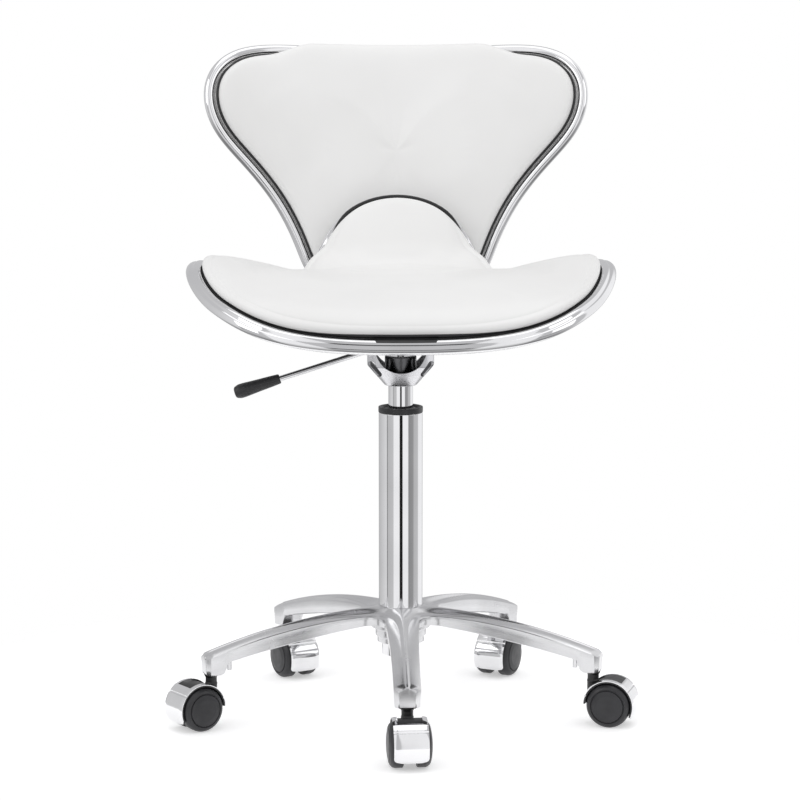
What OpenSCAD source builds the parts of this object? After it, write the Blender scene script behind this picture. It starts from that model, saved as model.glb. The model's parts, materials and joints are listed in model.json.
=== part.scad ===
// Rolling stylist stool: five-arm star base on hooded twin-wheel casters, gas-lift column,
// saddle-shaped seat and butterfly-shaped back, each upholstered and edged with a chrome tube.
// Millimetres. +Z is up, -Y is the front, and the origin is on the floor under the column axis.

/* [Base] */
// Radius of the circle that the caster stems stand on
stem_circle = 227; // [200:1:260]
// Number of arms
arm_count = 5; // [5:1:5]
// Rise from the underside of an arm's outer end to the arm's crown at the column
arm_rise = 63.5; // [52:0.5:76]
// Depth of an arm at its outer end
arm_end_depth = 24; // [20:1:28]
// Width of an arm at its outer end
arm_end_w = 30; // [26:1:36]
// Width of an arm beside the hub
arm_root_w = 44; // [36:1:52]
// Wall of the hub around the column's taper
hub_wall = 5; // [4:0.5:8]

/* [Casters] */
// Radius of a caster wheel
wheel_r = 25; // [20:0.5:30]
// Width over the two wheels of a caster
caster_w = 48.5; // [44:0.5:56]
// Length of the caster stem that shows between the hood and the arm
stem_show = 12.6; // [10:0.1:20]
// Gap between the two wheels of a caster
wheel_gap = 14.8; // [13:0.1:18]
// Distance of a caster's axle behind its stem
trail = 21; // [18:0.5:23]
// Width of a caster's hood
hood_w = 37.8; // [34:0.2:42]
// Wall of a caster's hood
hood_wall = 1.5; // [1:0.1:2]
// Radius of the caster stem inside the arm
stem_r = 5.5; // [5:0.25:6]
// Radius of the caster axle
axle_r = 3; // [2.5:0.25:4]

/* [Column] */
// Radius of the outer column tube
column_r = 25; // [23:0.5:30]
// Length of the column tube above the hub
column_rise = 223; // [180:1:268]
// Wall of the column tube
column_wall = 2; // [1.5:0.1:2.5]
// Height of the black cap on top of the column
cap_h = 6.5; // [5:0.5:9]
// Radius of the gas cylinder
cylinder_r = 14; // [13:0.25:17]
// Length of the gas cylinder that shows above the cap at the lowest setting
cylinder_show = 24.5; // [18:0.5:40]
// Travel of the gas lift
lift_travel = 120; // [80:1:130]
// Radius of the piston rod
rod_r = 5; // [4:0.5:6]

/* [Seat bracket and lever] */
// Wall of the bracket's foot around the cylinder
bracket_wall = 4; // [3:0.5:6]
// Radius of the bracket's bowl
bracket_bowl_r = 38; // [34:0.5:44]
// Height of the bracket's tapered foot
bracket_taper_h = 23; // [18:1:28]
// Height of the bracket from its foot to the top of its plate
bracket_h = 79.2; // [76:0.1:96]
// Side of the square mounting plate under the seat
plate_w = 130; // [110:1:150]
// Thickness of the mounting plate
plate_t = 4; // [3:0.5:6]
// Distance of the mounting screws from the plate's edges
screw_edge = 15; // [11:0.5:24]
// Radius of the lever rod
lever_r = 3.2; // [2.5:0.1:4]
// Reach of the lever grip's outer end from the column axis
lever_reach = 188; // [160:1:210]
// Slope of the lever below the horizontal, degrees
lever_slope = 17.5; // [10:0.5:22]
// Length of the lever's grip
grip_len = 54; // [40:1:70]

/* [Seat] */
// Width of the seat over its rim
seat_w = 470; // [390:1:520]
// Place of the seat's front edge
seat_front_y = -195; // [-215:1:-175]
// Length of the flat middle of the seat
seat_flat = 186; // [160:1:210]
// Radius of the bend from the seat to its rear tongue
bend_r = 80; // [70:1:90]
// Length of the straight part of the rear tongue
tongue_len = 60; // [45:1:75]
// Lean of the tongue and the back from the vertical, degrees
back_lean = 12; // [8:1:16]
// Rise of the seat's side edges at the front
side_rise = 24; // [15:1:32]
// Rise of the side wings at the rear
wing_rise = 62; // [45:1:75]
// Thickness of the seat and back shells
shell_t = 9; // [7:0.5:12]
// Thickness of the seat cushion at its crown
seat_pad_t = 36; // [28:1:42]
// Thickness of a cushion at its edge
pad_edge_t = 9; // [6:0.5:12]
// Radius of the chrome rim tube
rim_r = 6; // [5:0.25:7]
// Radius of the black piping
piping_r = 2.2; // [1.6:0.1:2.8]

/* [Back] */
// Width of the back over its rim
back_w = 453; // [400:1:500]
// Height of the back above the tongue's top
back_above = 177; // [150:1:200]
// Depth of the back below the tongue's top
back_below = 114; // [100:1:118]
// Distance of the back shell behind the tongue
back_gap = 43; // [40:1:50]
// Forward curl of the back's side wings
back_curl = 52; // [35:1:65]
// Thickness of the back cushion at its crown
back_pad_t = 29; // [20:1:32]

/* [Hidden] */
$fn = 64;
clear = 0.3;         // gap between pieces that only rest on each other
fit = 0.05;          // radial running fit of pins, shafts and bushes
eps = 0.01;

// Base
arm_first = 270;     // the front arm points to -Y
arm_end = stem_circle + 9;
arm_names = ["front", "right", "rear_right", "rear_left", "left"];
trail_dirs = [-86, -18, -118, -62, -147];
taper_r = column_r - 3.5;                    // radius of the tube's foot in the hub
arm_crown = 4.5;                             // fall from an arm's ridge to its edges
arm_sections = 14;
web_r = 58;
web_cut_r = 17;

// Casters
axle_z = wheel_r;
hood_in_r = wheel_r + 3;
hood_out_r = hood_in_r + hood_wall;
liner_in_r = wheel_r + 1.2;
hood_low_angle = -29;
hood_high_angle = 180;
collar_r = 7;
wheel_t = (caster_w - wheel_gap) / 2;
web_t = wheel_gap - 2 * clear - 0.4;
hub_pin_r = 4;
collar_low = axle_z + sqrt(pow(hood_out_r, 2) - pow(trail, 2)) + 2.2;
arm_end_floor = collar_low + stem_show;
stem_top = arm_end_floor + 18;
hub_top = arm_end_floor + arm_rise;
hub_floor = arm_end_floor + 5.5;
hub_step = hub_floor + 15;

// Column
tube_top = hub_top + column_rise;
cap_top = tube_top + cap_h;
foot_z = cap_top + cylinder_show;
bore_r = column_r - column_wall;
socket_depth = 34;
cyl_top = foot_z + socket_depth;
cyl_low = hub_floor + 34;
bush_h = 56;
pin_r = 4;
pin_rise = 12;

// Bracket and lever
bracket_foot_r = cylinder_r + bracket_wall;
plate_top = foot_z + bracket_h;
plate_low = plate_top - plate_t;
shell_low = plate_top + clear;
seat_level = shell_low + shell_t / 2;
screw_pitch = plate_w - 2 * screw_edge;
bowl_z = foot_z + bracket_taper_h;
bowl_wall = 4;
window_r = 30.3;
window_z = foot_z + 47;
slot_r = 3.6;
pin_top = cyl_top + pin_rise;
pivot_x = -26;
pivot_r = 2.5;
pivot_half = 11;
eye_r = 5.6;
eye_half = 5;
foot_half = 5;       // half length of the lever's flat foot over the release pin
lever_z = pin_top + clear + 4.8;                  // height of the lever's line at the column axis
pivot_z = lever_z + pivot_x * tan(lever_slope);
grip_r = 8.2;
strap_w = 60;
strap_t = 4;
strap_bend_r = 10;
strap_front_y = 44;
screw_r = 3.1;
plate_screws = [for (x = [-1, 1], y = [-1, 1]) [x, y] * screw_pitch / 2];
strap_screws = [for (x = [-20, 20]) [x, strap_front_y + 10]];

// Seat surface
lip_r = 160;
lip_angle = 24;
seat_lean = 90 - back_lean;
lip_len = lip_r * lip_angle * PI / 180;
bend_len = bend_r * seat_lean * PI / 180;
bend_start = lip_len + seat_flat;
bend_end = bend_start + bend_len;
seat_len = bend_end + tongue_len;
flat_y = seat_front_y + lip_r * sin(lip_angle);
rise_power = 2.4;
half_seat = seat_w / 2 - rim_r;
rim_drop = 4;
outline_steps = 3;
seat_centre = [0, 0.446 * seat_len];
tongue_y = flat_y + seat_flat + bend_r * sin(seat_lean) + tongue_len * cos(seat_lean);
tongue_z = seat_level + bend_r * (1 - cos(seat_lean)) + tongue_len * sin(seat_lean);

// Half outlines, from the middle of the front edge round the right side to the middle of the rear
// edge: a share of the half width, and a share of the length
seat_half = [[0, 0], [0.31, 0], [0.61, 0.023], [0.82, 0.108], [0.935, 0.235], [1.01, 0.387],
    [0.975, 0.53], [0.78, 0.587], [0.6, 0.615], [0.487, 0.705], [0.41, 0.845], [0.288, 0.98], [0, 1.03]];
// The back's outline runs from the middle of its foot round the right side to the middle of its top
back_half = [[0, -1.1], [0.22, -1.1], [0.44, -1], [0.5, -0.68], [0.615, -0.3], [0.78, 0.012],
    [0.92, 0.237], [0.985, 0.486], [0.97, 0.746], [0.835, 0.96], [0.58, 1], [0.31, 0.98], [0, 0.972]];

function unit(v) = v / norm(v);
function smooth(x) = let (c = min(1, max(0, x))) c * c * (3 - 2 * c);
function mirrored(h) = concat(h, [for (i = [len(h) - 2:-1:1]) [-h[i][0], h[i][1]]]);
function spline(c, n) = let (m = len(c)) [for (i = [0:m - 1], k = [0:n - 1])
    let (u = k / n, a = c[(i + m - 1) % m], b = c[i], d = c[(i + 1) % m], e = c[(i + 2) % m])
    (a * pow(1 - u, 3) + b * (3 * pow(u, 3) - 6 * u * u + 4)
     + d * (-3 * pow(u, 3) + 3 * u * u + 3 * u + 1) + e * pow(u, 3)) / 6];
// Scales an outline so that its widest point is at half_w and its ends are at low and high
function fitted(raw, half_w, low, high) =
    let (wide = max([for (p = raw) p[0]]),
         y0 = min([for (p = raw) p[1]]),
         y1 = max([for (p = raw) p[1]]))
    [for (p = raw) [p[0] / wide * half_w, low + (p[1] - y0) / (y1 - y0) * (high - low)]];
// Moves an outline inwards by a distance
function inset(o, d) = let (m = len(o)) [for (k = [0:m - 1])
    let (t = unit(o[(k + 1) % m] - o[(k + m - 1) % m])) o[k] + d * [-t[1], t[0]]];

// Profile of the seat's middle line, at a length along it: [y, z, slope]
function seat_profile(t) =
    t < lip_len ? let (p = (lip_len - t) / lip_r * 180 / PI)
        [flat_y - lip_r * sin(p), seat_level - lip_r * (1 - cos(p)), p] :
    t < bend_start ? [flat_y + t - lip_len, seat_level, 0] :
    t < bend_end ? let (p = (t - bend_start) / bend_r * 180 / PI)
        [flat_y + seat_flat + bend_r * sin(p), seat_level + bend_r * (1 - cos(p)), p] :
    let (d = t - bend_end) [flat_y + seat_flat + bend_r * sin(seat_lean) + d * cos(seat_lean),
        seat_level + bend_r * (1 - cos(seat_lean)) + d * sin(seat_lean), seat_lean];
function seat_point(s, t) =
    let (p = seat_profile(t),
         rise = side_rise + (wing_rise - side_rise) * smooth(t / (0.6 * seat_len)),
         e = rise * pow(abs(s / half_seat), rise_power))
    [s, p[0] - sin(p[2]) * e, p[1] + cos(p[2]) * e];
function seat_normal(s, t) = unit(cross(seat_point(s + 1, t) - seat_point(s - 1, t),
    seat_point(s, t + 1) - seat_point(s, t - 1)));
function on_seat(p, h) = seat_point(p[0], p[1]) + h * seat_normal(p[0], p[1]);

// Surface of the back: x across, h along its lean from the tongue's top
back_fwd = [0, -cos(back_lean), sin(back_lean)];
back_up = [0, sin(back_lean), cos(back_lean)];
half_back = back_w / 2 - rim_r;
back_base = [0, tongue_y, tongue_z] - back_fwd * back_gap;
function back_point(x, h) =
    back_base + [x, 0, 0] + back_up * h + back_fwd * (back_curl * pow(x / half_back, 2));
function back_normal(x, h) = unit(cross(back_point(x, h + 1) - back_point(x, h - 1),
    back_point(x + 1, h) - back_point(x - 1, h)) * -1);
function on_back(p, h) = back_point(p[0], p[1]) + h * back_normal(p[0], p[1]);

seat_outline = fitted(spline(mirrored(seat_half), outline_steps), half_seat, 0, seat_len);
back_outline = fitted(spline(mirrored(back_half), outline_steps), half_back, -back_below, back_above);
back_centre = [0, 0.3 * back_above];

// Copies of an outline, from a small one round a centre out to the outline itself
function rings(outline, centre) = [for (j = [1:pad_rings])
    [for (p = outline) centre + (p - centre) * j / pad_rings]];

// A closed solid over nested loops on a surface, between two heights that depend on the way out
module padded(loops, centre, place, low, high) {
    m = len(loops[0]);
    count = len(loops);
    function layer(height) = concat([place(centre, height(0))],
        [for (j = [1:count], k = [0:m - 1]) place(loops[j - 1][k], height(j / count))]);
    n = 1 + count * m;
    function at(side, j, k) = side * n + 1 + (j - 1) * m + k % m;
    polyhedron(concat(layer(low), layer(high)), concat(
        [for (k = [0:m - 1]) [0, at(0, 1, k + 1), at(0, 1, k)]],
        [for (k = [0:m - 1]) [n, at(1, 1, k), at(1, 1, k + 1)]],
        [for (j = [1:count - 1], k = [0:m - 1], f = [0, 1])
            let (a = at(0, j, k), b = at(0, j, k + 1), c = at(0, j + 1, k + 1), d = at(0, j + 1, k))
            f == 0 ? [a, b, c] : [a, c, d]],
        [for (j = [1:count - 1], k = [0:m - 1], f = [0, 1])
            let (a = at(1, j, k), b = at(1, j, k + 1), c = at(1, j + 1, k + 1), d = at(1, j + 1, k))
            f == 0 ? [a, c, b] : [a, d, c]],
        [for (k = [0:m - 1], f = [0, 1])
            let (a = at(0, count, k), b = at(0, count, k + 1), c = at(1, count, k + 1), d = at(1, count, k))
            f == 0 ? [a, b, c] : [a, c, d]]));
}

// A closed tube along a path that lies on a surface
module edge_tube(outline, place, height, r, sides) {
    m = len(outline);
    path = [for (p = outline) place(p, height)];
    up = [for (p = outline) place(p, height + 1) - place(p, height)];
    points = [for (k = [0:m - 1]) let (t = unit(path[(k + 1) % m] - path[(k + m - 1) % m]),
            side = unit(cross(t, up[k])), u = cross(side, t))
        for (a = [0:sides - 1]) path[k] + r * (cos(360 * a / sides) * side + sin(360 * a / sides) * u)];
    polyhedron(points, [for (k = [0:m - 1], a = [0:sides - 1], f = [0, 1])
        let (p = k * sides + a, q = k * sides + (a + 1) % sides,
             r = ((k + 1) % m) * sides + (a + 1) % sides, s = ((k + 1) % m) * sides + a)
        f == 0 ? [p, q, r] : [p, r, s]]);
}

// One arm of the star, along +X: crowned on top, arched, with square sides
function arm_top(r) = hub_top + 0.5 - (hub_top - arm_end_floor - arm_end_depth) * pow(r / arm_end, 2.1);
function arm_depth(r) = 17 + 4 * sin(180 * (r - 40) / (arm_end - 40));
function arm_width(r) = arm_end_w + (arm_root_w - arm_end_w) * pow((arm_end - r) / (arm_end - 20), 2.2);
module arm() {
    along = [for (i = [0:arm_sections]) 20 + (arm_end - 24) * i / arm_sections];
    radii = concat(along, [arm_end - 1.2, arm_end]);
    widths = concat([for (i = [0:arm_sections]) arm_width(radii[i])], [arm_end_w - 3, arm_end_w - 8]);
    crown = [-1, -0.6, -0.2, 0.2, 0.6, 1];
    m = len(crown) + 2;
    last = len(radii) - 1;
    points = [for (i = [0:last], j = [0:m - 1]) let (r = radii[i], w = widths[i] / 2, c = crown[j])
        j < m - 2 ? [r, c * w, arm_top(r) - arm_crown * c * c] :
        [r, (j == m - 2 ? 1 : -1) * (w - 1), arm_top(r) - arm_depth(min(r, arm_end - 4))]];
    polyhedron(points, concat([for (j = [1:m - 2]) [0, j + 1, j]],
        [for (j = [1:m - 2]) [last * m, last * m + j, last * m + j + 1]],
        [for (i = [0:last - 1], j = [0:m - 1], f = [0, 1]) let (a = i * m + j, b = i * m + (j + 1) % m)
            f == 0 ? [a, b + m, a + m] : [a, b, b + m]]));
}
module rounded_bar(l, w, h, r) {
    linear_extrude(h) {
        square([l - 2 * r, w], center = true);
        square([l, w - 2 * r], center = true);
        for (x = [-1, 1], y = [-1, 1]) translate([x * (l / 2 - r), y * (w / 2 - r)]) circle(r);
    }
}
module each_arm() for (i = [0:arm_count - 1]) rotate(arm_first + i * 360 / arm_count) children();

module star_base() color("silver") difference() {
    union() {
        each_arm() {
            arm();
            translate([stem_circle, 0, arm_end_floor]) rounded_bar(18, arm_end_w - 2, 12, 4);
            translate([stem_circle - 15, -5, arm_end_floor + 4]) cube([4, 10, 12]);
        }
        // Web between the arms, hollowed by a round fillet in each corner
        difference() {
            translate([0, 0, hub_top - 18]) cylinder(r = web_r, h = 15, $fn = 96);
            each_arm() rotate(180 / arm_count) translate([web_r + 4, 0, hub_top - 20])
                cylinder(r = web_cut_r, h = 30);
        }
        rotate_extrude() polygon([[0, hub_step], [taper_r + 0.5 + hub_wall, hub_step],
            [column_r + hub_wall, hub_top - 18], [column_r + hub_wall + 5, hub_top - 6],
            [column_r + hub_wall, hub_top - 2], [column_r + 1, hub_top], [0, hub_top]]);
    }
    rotate_extrude() polygon([[0, hub_step - 1], [taper_r + 0.5, hub_step - 1], [taper_r + 0.5, hub_step],
        [column_r, hub_top - 2], [column_r, hub_top + 3], [0, hub_top + 3]]);
    each_arm() translate([stem_circle, 0, arm_end_floor - 1])
        cylinder(r = stem_r + fit, h = stem_top - arm_end_floor + 2);
}
module column_tube() color("gainsboro") rotate_extrude() polygon([
    [hub_pin_r + fit, hub_floor], [taper_r, hub_floor], [taper_r + 0.5 - fit, hub_step],
    [column_r - fit, hub_top - 2], [column_r, hub_top + clear], [column_r, tube_top], [bore_r, tube_top],
    [bore_r, hub_top], [taper_r - column_wall, hub_step], [taper_r - column_wall, hub_floor + 3],
    [hub_pin_r + fit, hub_floor + 3]]);
module column_cap() color("black") rotate_extrude() polygon([
    [cylinder_r + 0.6, tube_top + clear], [column_r + 0.4, tube_top + clear], [column_r + 0.4, cap_top - 0.8],
    [column_r - 0.4, cap_top], [column_r - 2.2, cap_top], [column_r - 3.2, cap_top - 1.8],
    [cylinder_r + 0.6, cap_top - 1.8]]);
module guide_bush() color("dimgray") translate([0, 0, tube_top - bush_h]) difference() {
    cylinder(r = bore_r - fit, h = bush_h);
    translate([0, 0, -1]) cylinder(r = cylinder_r + fit, h = bush_h + 2);
}
module thrust_bearing() color("silver") {
    for (z = [hub_floor + 3 + clear, hub_floor + 8.2]) translate([0, 0, z]) difference() {
        cylinder(r = 16, h = 1.5);
        translate([0, 0, -1]) cylinder(r = rod_r + 0.7, h = 4);
    }
    difference() {
        translate([0, 0, hub_floor + 4.8]) cylinder(r = 14, h = 3.4);
        translate([0, 0, hub_floor + 4]) cylinder(r = rod_r + 2, h = 5);
    }
}
module rubber_buffer() color("black") translate([0, 0, hub_floor + 13]) difference() {
    cylinder(r = 12, h = 18);
    translate([0, 0, -1]) cylinder(r = rod_r + fit, h = 20);
}
module column_clip() color("silver") translate([0, 0, hub_floor - clear - 2]) difference() {
    cylinder(r = hub_pin_r + 4, h = 2);
    translate([0, 0, -1]) cylinder(r = hub_pin_r + fit, h = 4);
}
rod_shoulder = hub_floor + 10;
piston_z = cyl_low + 8 + lift_travel + 4;
module piston_rod() color("silver") rotate_extrude() polygon([
    [0, hub_floor - 4], [hub_pin_r, hub_floor - 4], [hub_pin_r, rod_shoulder], [rod_r + 2.5, rod_shoulder],
    [rod_r + 2.5, rod_shoulder + 2.5], [rod_r, rod_shoulder + 2.5], [rod_r, piston_z],
    [cylinder_r - 1.5 - fit, piston_z], [cylinder_r - 1.5 - fit, piston_z + 12], [0, piston_z + 12]]);
module gas_cylinder() color("gainsboro") rotate_extrude() polygon([
    [rod_r + fit, cyl_low], [cylinder_r - 1, cyl_low], [cylinder_r, cyl_low + 1], [cylinder_r, foot_z],
    [cylinder_r - 0.8, cyl_top], [pin_r + fit, cyl_top], [pin_r + fit, cyl_top - 20],
    [cylinder_r - 1.5, cyl_top - 20], [cylinder_r - 1.5, cyl_low + 8], [rod_r + fit, cyl_low + 8]]);
module release_pin() color("silver") translate([0, 0, cyl_top - 14]) cylinder(r = pin_r, h = 14 + pin_rise);

// Bracket: a tapered foot on the cylinder that opens into a bowl, with a round window front and rear,
// and a square plate on top
module seat_bracket() color("silver") {
    difference() {
        rotate_extrude() polygon([[cylinder_r, foot_z + clear], [bracket_foot_r, foot_z + clear],
            [bracket_bowl_r, bowl_z], [bracket_bowl_r, plate_low + eps],
            [bracket_bowl_r - bowl_wall, plate_low + eps], [bracket_bowl_r - bowl_wall, bowl_z + 3],
            [bracket_foot_r + 4, foot_z + 14], [bracket_foot_r, foot_z + 14], [bracket_foot_r, cyl_top],
            [cylinder_r - 0.8, cyl_top]]);
        for (side = [0, 1]) mirror([0, side, 0]) {
            translate([0, -bracket_foot_r, window_z]) rotate([90, 0, 0]) cylinder(r = window_r, h = 40);
            for (x = [0, 1]) mirror([x, 0, 0]) translate([-28, -10, foot_z + 22]) rotate([90, 0, 0])
                rotate(-54) linear_extrude(40) {
                    square([16, 2 * slot_r], center = true);
                    for (e = [-8, 8]) translate([e, 0]) circle(slot_r);
                }
        }
        // Slot for the lever
        translate([-bracket_bowl_r - 5, -lever_r - 1, pivot_z - 10]) cube([15, 2 * lever_r + 2, 14]);
    }
    // Plate with holes for its screws
    translate([0, 0, plate_low]) difference() {
        rounded_bar(plate_w, plate_w, plate_t, 14);
        for (p = concat(plate_screws, strap_screws)) translate([p[0], p[1], -1])
            cylinder(r = screw_r, h = plate_t + 2);
    }
    // Ears that hold the lever's pivot
    for (side = [-1, 1]) difference() {
        translate([pivot_x - 6, side * (eye_half + 1.8) - 1.5, pivot_z - 6])
            cube([12, 3, plate_low - pivot_z + 6 + eps]);
        translate([pivot_x, side * 20, pivot_z]) rotate([90 * side, 0, 0]) cylinder(r = pivot_r, h = 20);
    }
}
module screw(low, high) translate([0, 0, low]) {
    translate([0, 0, -3.5]) cylinder(r = 5.5, h = 3.5);
    cylinder(r = screw_r - fit, h = high - low);
}
module mount_screws() color("silver") {
    for (p = plate_screws) translate(p) screw(plate_low, shell_low);
    for (p = strap_screws) translate(p) screw(strap_z, shell_low);
}

// Lever: a rod with an eye on the pivot and a flat foot over the release pin
module along_lever(x)
    translate([x, 0, lever_z + x * tan(lever_slope)]) rotate([0, -lever_slope, 0]) children();
grip_start = grip_len * cos(lever_slope) - lever_reach;
module lever_rod() color("silver") difference() {
    union() {
        along_lever(0) rotate([0, -90, 0]) cylinder(r = lever_r, h = 20 - grip_start / cos(lever_slope));
        translate([pivot_x, eye_half, pivot_z]) rotate([90, 0, 0]) cylinder(r = eye_r, h = 2 * eye_half);
        translate([-foot_half, -4, pin_top + clear]) cube([2 * foot_half, 8, 6]);
    }
    translate([pivot_x, 20, pivot_z]) rotate([90, 0, 0]) cylinder(r = pivot_r + fit, h = 40);
}
module lever_grip() color("black") along_lever(grip_start) rotate([0, -90, 0]) difference() {
    rotate_extrude() polygon([[0, 0], [5.4, 0], [6.2, 1.2], [grip_r, grip_len - 12],
        [grip_r - 1, grip_len - 4], [grip_r - 3.6, grip_len - 0.8], [0, grip_len]]);
    translate([0, 0, -1]) cylinder(r = lever_r + 0.02, h = 22);
}
module lever_pivot() color("silver") translate([pivot_x, pivot_half, pivot_z]) rotate([90, 0, 0])
    cylinder(r = pivot_r - 0.01, h = 2 * pivot_half);

// Upholstered shells
function crowned(edge, crown) = function(f) edge + (crown - edge) * (1 - pow(f, 3));
function level(h) = function(f) h;
pad_rings = 7;
pad_low = shell_t / 2 + 0.2;
seat_place = function(p, h) on_seat(p, h);
back_place = function(p, h) on_back(p, h);
shell_inset = rim_r + clear;
pad_inset = shell_inset + 2 * piping_r;
piping_inset = rim_r + piping_r - 0.4;
seat_rings = rings(inset(seat_outline, pad_inset), seat_centre);
back_rings = rings(inset(back_outline, pad_inset), back_centre);
module shell(pad_loops, outline, centre, place) padded(concat(pad_loops, [inset(outline, shell_inset)]),
    centre, place, level(-shell_t / 2), level(shell_t / 2));
module cushion(pad_loops, centre, place, crown)
    padded(pad_loops, centre, place, level(pad_low), crowned(pad_low + pad_edge_t, pad_low + crown));

module seat_shell() color("black") shell(seat_rings, seat_outline, seat_centre, seat_place);
module seat_cushion() color("white") cushion(seat_rings, seat_centre, seat_place, seat_pad_t);
module seat_piping() color("black")
    edge_tube(inset(seat_outline, piping_inset), seat_place, pad_low + piping_r, piping_r, 6);
module seat_rim() color("gainsboro") edge_tube(seat_outline, seat_place, -rim_drop, rim_r, 10);
module back_shell() color("white") shell(back_rings, back_outline, back_centre, back_place);
module back_cushion() color("white") cushion(back_rings, back_centre, back_place, back_pad_t);
module back_piping() color("black")
    edge_tube(inset(back_outline, piping_inset), back_place, pad_low + piping_r, piping_r, 6);
module back_rim() color("gainsboro") edge_tube(back_outline, back_place, 0, rim_r, 10);

// Steel strap from the mounting plate, back under the seat and up behind the back
strap_off = shell_t / 2 + 4;                       // strap face behind the middle of the back shell
strap_z = plate_low - clear - strap_t;
strap_foot = back_base - back_fwd * strap_off;     // a point on the rising leg's front face
strap_turn = 90 - back_lean;
strap_corner_y = strap_foot[1] - (strap_foot[2] - strap_z - strap_t) * tan(back_lean);
strap_tangent = strap_bend_r * tan(strap_turn / 2);
strap_rise = (strap_foot[2] - strap_z - strap_t) / cos(back_lean) - strap_tangent + 60;
function arc(centre, r, low, high) = [for (k = [0:10])
    let (a = low + (high - low) * k / 10) centre + r * [cos(a), sin(a)]];
module back_strap() color("dimgray") difference() {
    rotate([90, 0, 90]) linear_extrude(strap_w, center = true) {
        bend = [strap_corner_y - strap_tangent, strap_z + strap_t + strap_bend_r];
        outer = arc(bend, strap_bend_r + strap_t, -90, strap_turn - 90);
        inner = arc(bend, strap_bend_r, strap_turn - 90, -90);
        rise = strap_rise * [cos(strap_turn), sin(strap_turn)];
        polygon(concat([[strap_front_y, strap_z]], outer, [outer[10] + rise, inner[0] + rise], inner,
            [[strap_front_y, strap_z + strap_t]]));
    }
    for (p = strap_screws) translate([p[0], p[1], strap_z - 1]) cylinder(r = screw_r, h = strap_t + 2);
    at_back_bolts(-1) cylinder(r = screw_r, h = strap_t + 2);
}
// Places on the strap's rear face, moved out by a distance and pointing at the back
module at_back_bolts(out) for (x = [-1, 1], h = [-70, 20])
    translate(back_base + [x * 18, 0, 0] + back_up * h - back_fwd * (strap_off + strap_t - out))
        rotate([90 - back_lean, 0, 0]) children();
module back_bolts() color("silver") at_back_bolts(0) {
    translate([0, 0, -3]) cylinder(r = 5.5, h = 3);
    cylinder(r = screw_r - fit, h = strap_t + strap_off - shell_t / 2);
}

// Casters, each drawn with its stem on the Z axis and its wheels trailing along +X
module at_caster(i) rotate(arm_first + i * 360 / arm_count) translate([stem_circle, 0, 0])
    rotate(trail_dirs[i] - arm_first - i * 360 / arm_count) children();
module about_axle() translate([trail, 0, axle_z]) rotate([90, 0, 0]) children();
// The part of a ring that the hood covers, from low to high degrees about the axle
module sector(r, low, high)
    polygon(concat([[0, 0]], [for (a = [low:(high - low) / 12:high + eps]) 1.6 * r * [cos(a), sin(a)]]));
boss_r = wheel_gap / 2 - 0.7;
hood_hole_r = collar_r + 2.4;
module caster_stem(i) color("dimgray") at_caster(i) rotate_extrude() polygon([
    [0, axle_z + 5], [hub_pin_r, axle_z + 5], [hub_pin_r, collar_low], [collar_r, collar_low],
    [collar_r, arm_end_floor - 2.2],
    [stem_r + 2.6, arm_end_floor - 2.2], [stem_r + 2.6, arm_end_floor - 0.1], [stem_r, arm_end_floor - 0.1],
    [stem_r, stem_top - 1], [stem_r - 1, stem_top], [0, stem_top]]);
module ring_about_axle(r_out, r_in, w) translate([0, 0, -w / 2]) difference() {
    cylinder(r = r_out, h = w, $fn = 96);
    translate([0, 0, -1]) cylinder(r = r_in, h = w + 2, $fn = 96);
}
module caster_hood(i) color("gainsboro") at_caster(i) difference() {
    about_axle() intersection() {
        ring_about_axle(hood_out_r, hood_in_r, hood_w);
        translate([0, 0, -hood_w / 2]) linear_extrude(hood_w)
            sector(hood_out_r, hood_low_angle, hood_high_angle);
    }
    translate([0, 0, axle_z]) cylinder(r = hood_hole_r, h = 40);
}
module caster_liner(i) color("black") at_caster(i) difference() {
    union() {
        about_axle() {
            intersection() {
                union() {
                    ring_about_axle(hood_in_r - 0.05, liner_in_r, hood_w - 1);
                    translate([0, 0, -web_t / 2]) cylinder(r = hood_in_r - 0.05, h = web_t, $fn = 96);
                }
                translate([0, 0, -hood_w / 2]) linear_extrude(hood_w)
                    sector(hood_out_r, hood_low_angle + 4, hood_high_angle - 2);
            }
            translate([0, 0, -web_t / 2]) cylinder(r = axle_r + 6, h = web_t);
        }
        translate([0, 0, axle_z + 3]) cylinder(r = boss_r, h = collar_low - clear - axle_z - 3);
    }
    translate([0, 0, axle_z + 3]) cylinder(r = hub_pin_r + fit, h = 40);
    translate([0, 0, collar_low - clear]) cylinder(r = collar_r + clear, h = 20);
    about_axle() translate([0, 0, -50]) cylinder(r = axle_r, h = 100);
}
module caster_axle(i) color("silver") at_caster(i) about_axle() translate([0, 0, 2.5 - caster_w / 2])
    cylinder(r = axle_r - 0.01, h = caster_w - 5);
module caster_wheel(i, side) color("black") at_caster(i) translate([trail, 0, axle_z])
    rotate([side * -90, 0, 0]) translate([0, 0, wheel_gap / 2]) rotate_extrude($fn = 96) polygon([
        [axle_r + fit, 0], [wheel_r - 1, 0], [wheel_r, 1], [wheel_r, 0.55 * wheel_t],
        [wheel_r - 1.5, 0.78 * wheel_t], [wheel_r - 5, 0.9 * wheel_t], [wheel_r - 6, 0.86 * wheel_t],
        [wheel_r - 7, 0.93 * wheel_t], [wheel_r / 2, 0.985 * wheel_t], [0, wheel_t], [0, wheel_t - 1.5],
        [axle_r + fit, wheel_t - 1.5]]);

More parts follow.
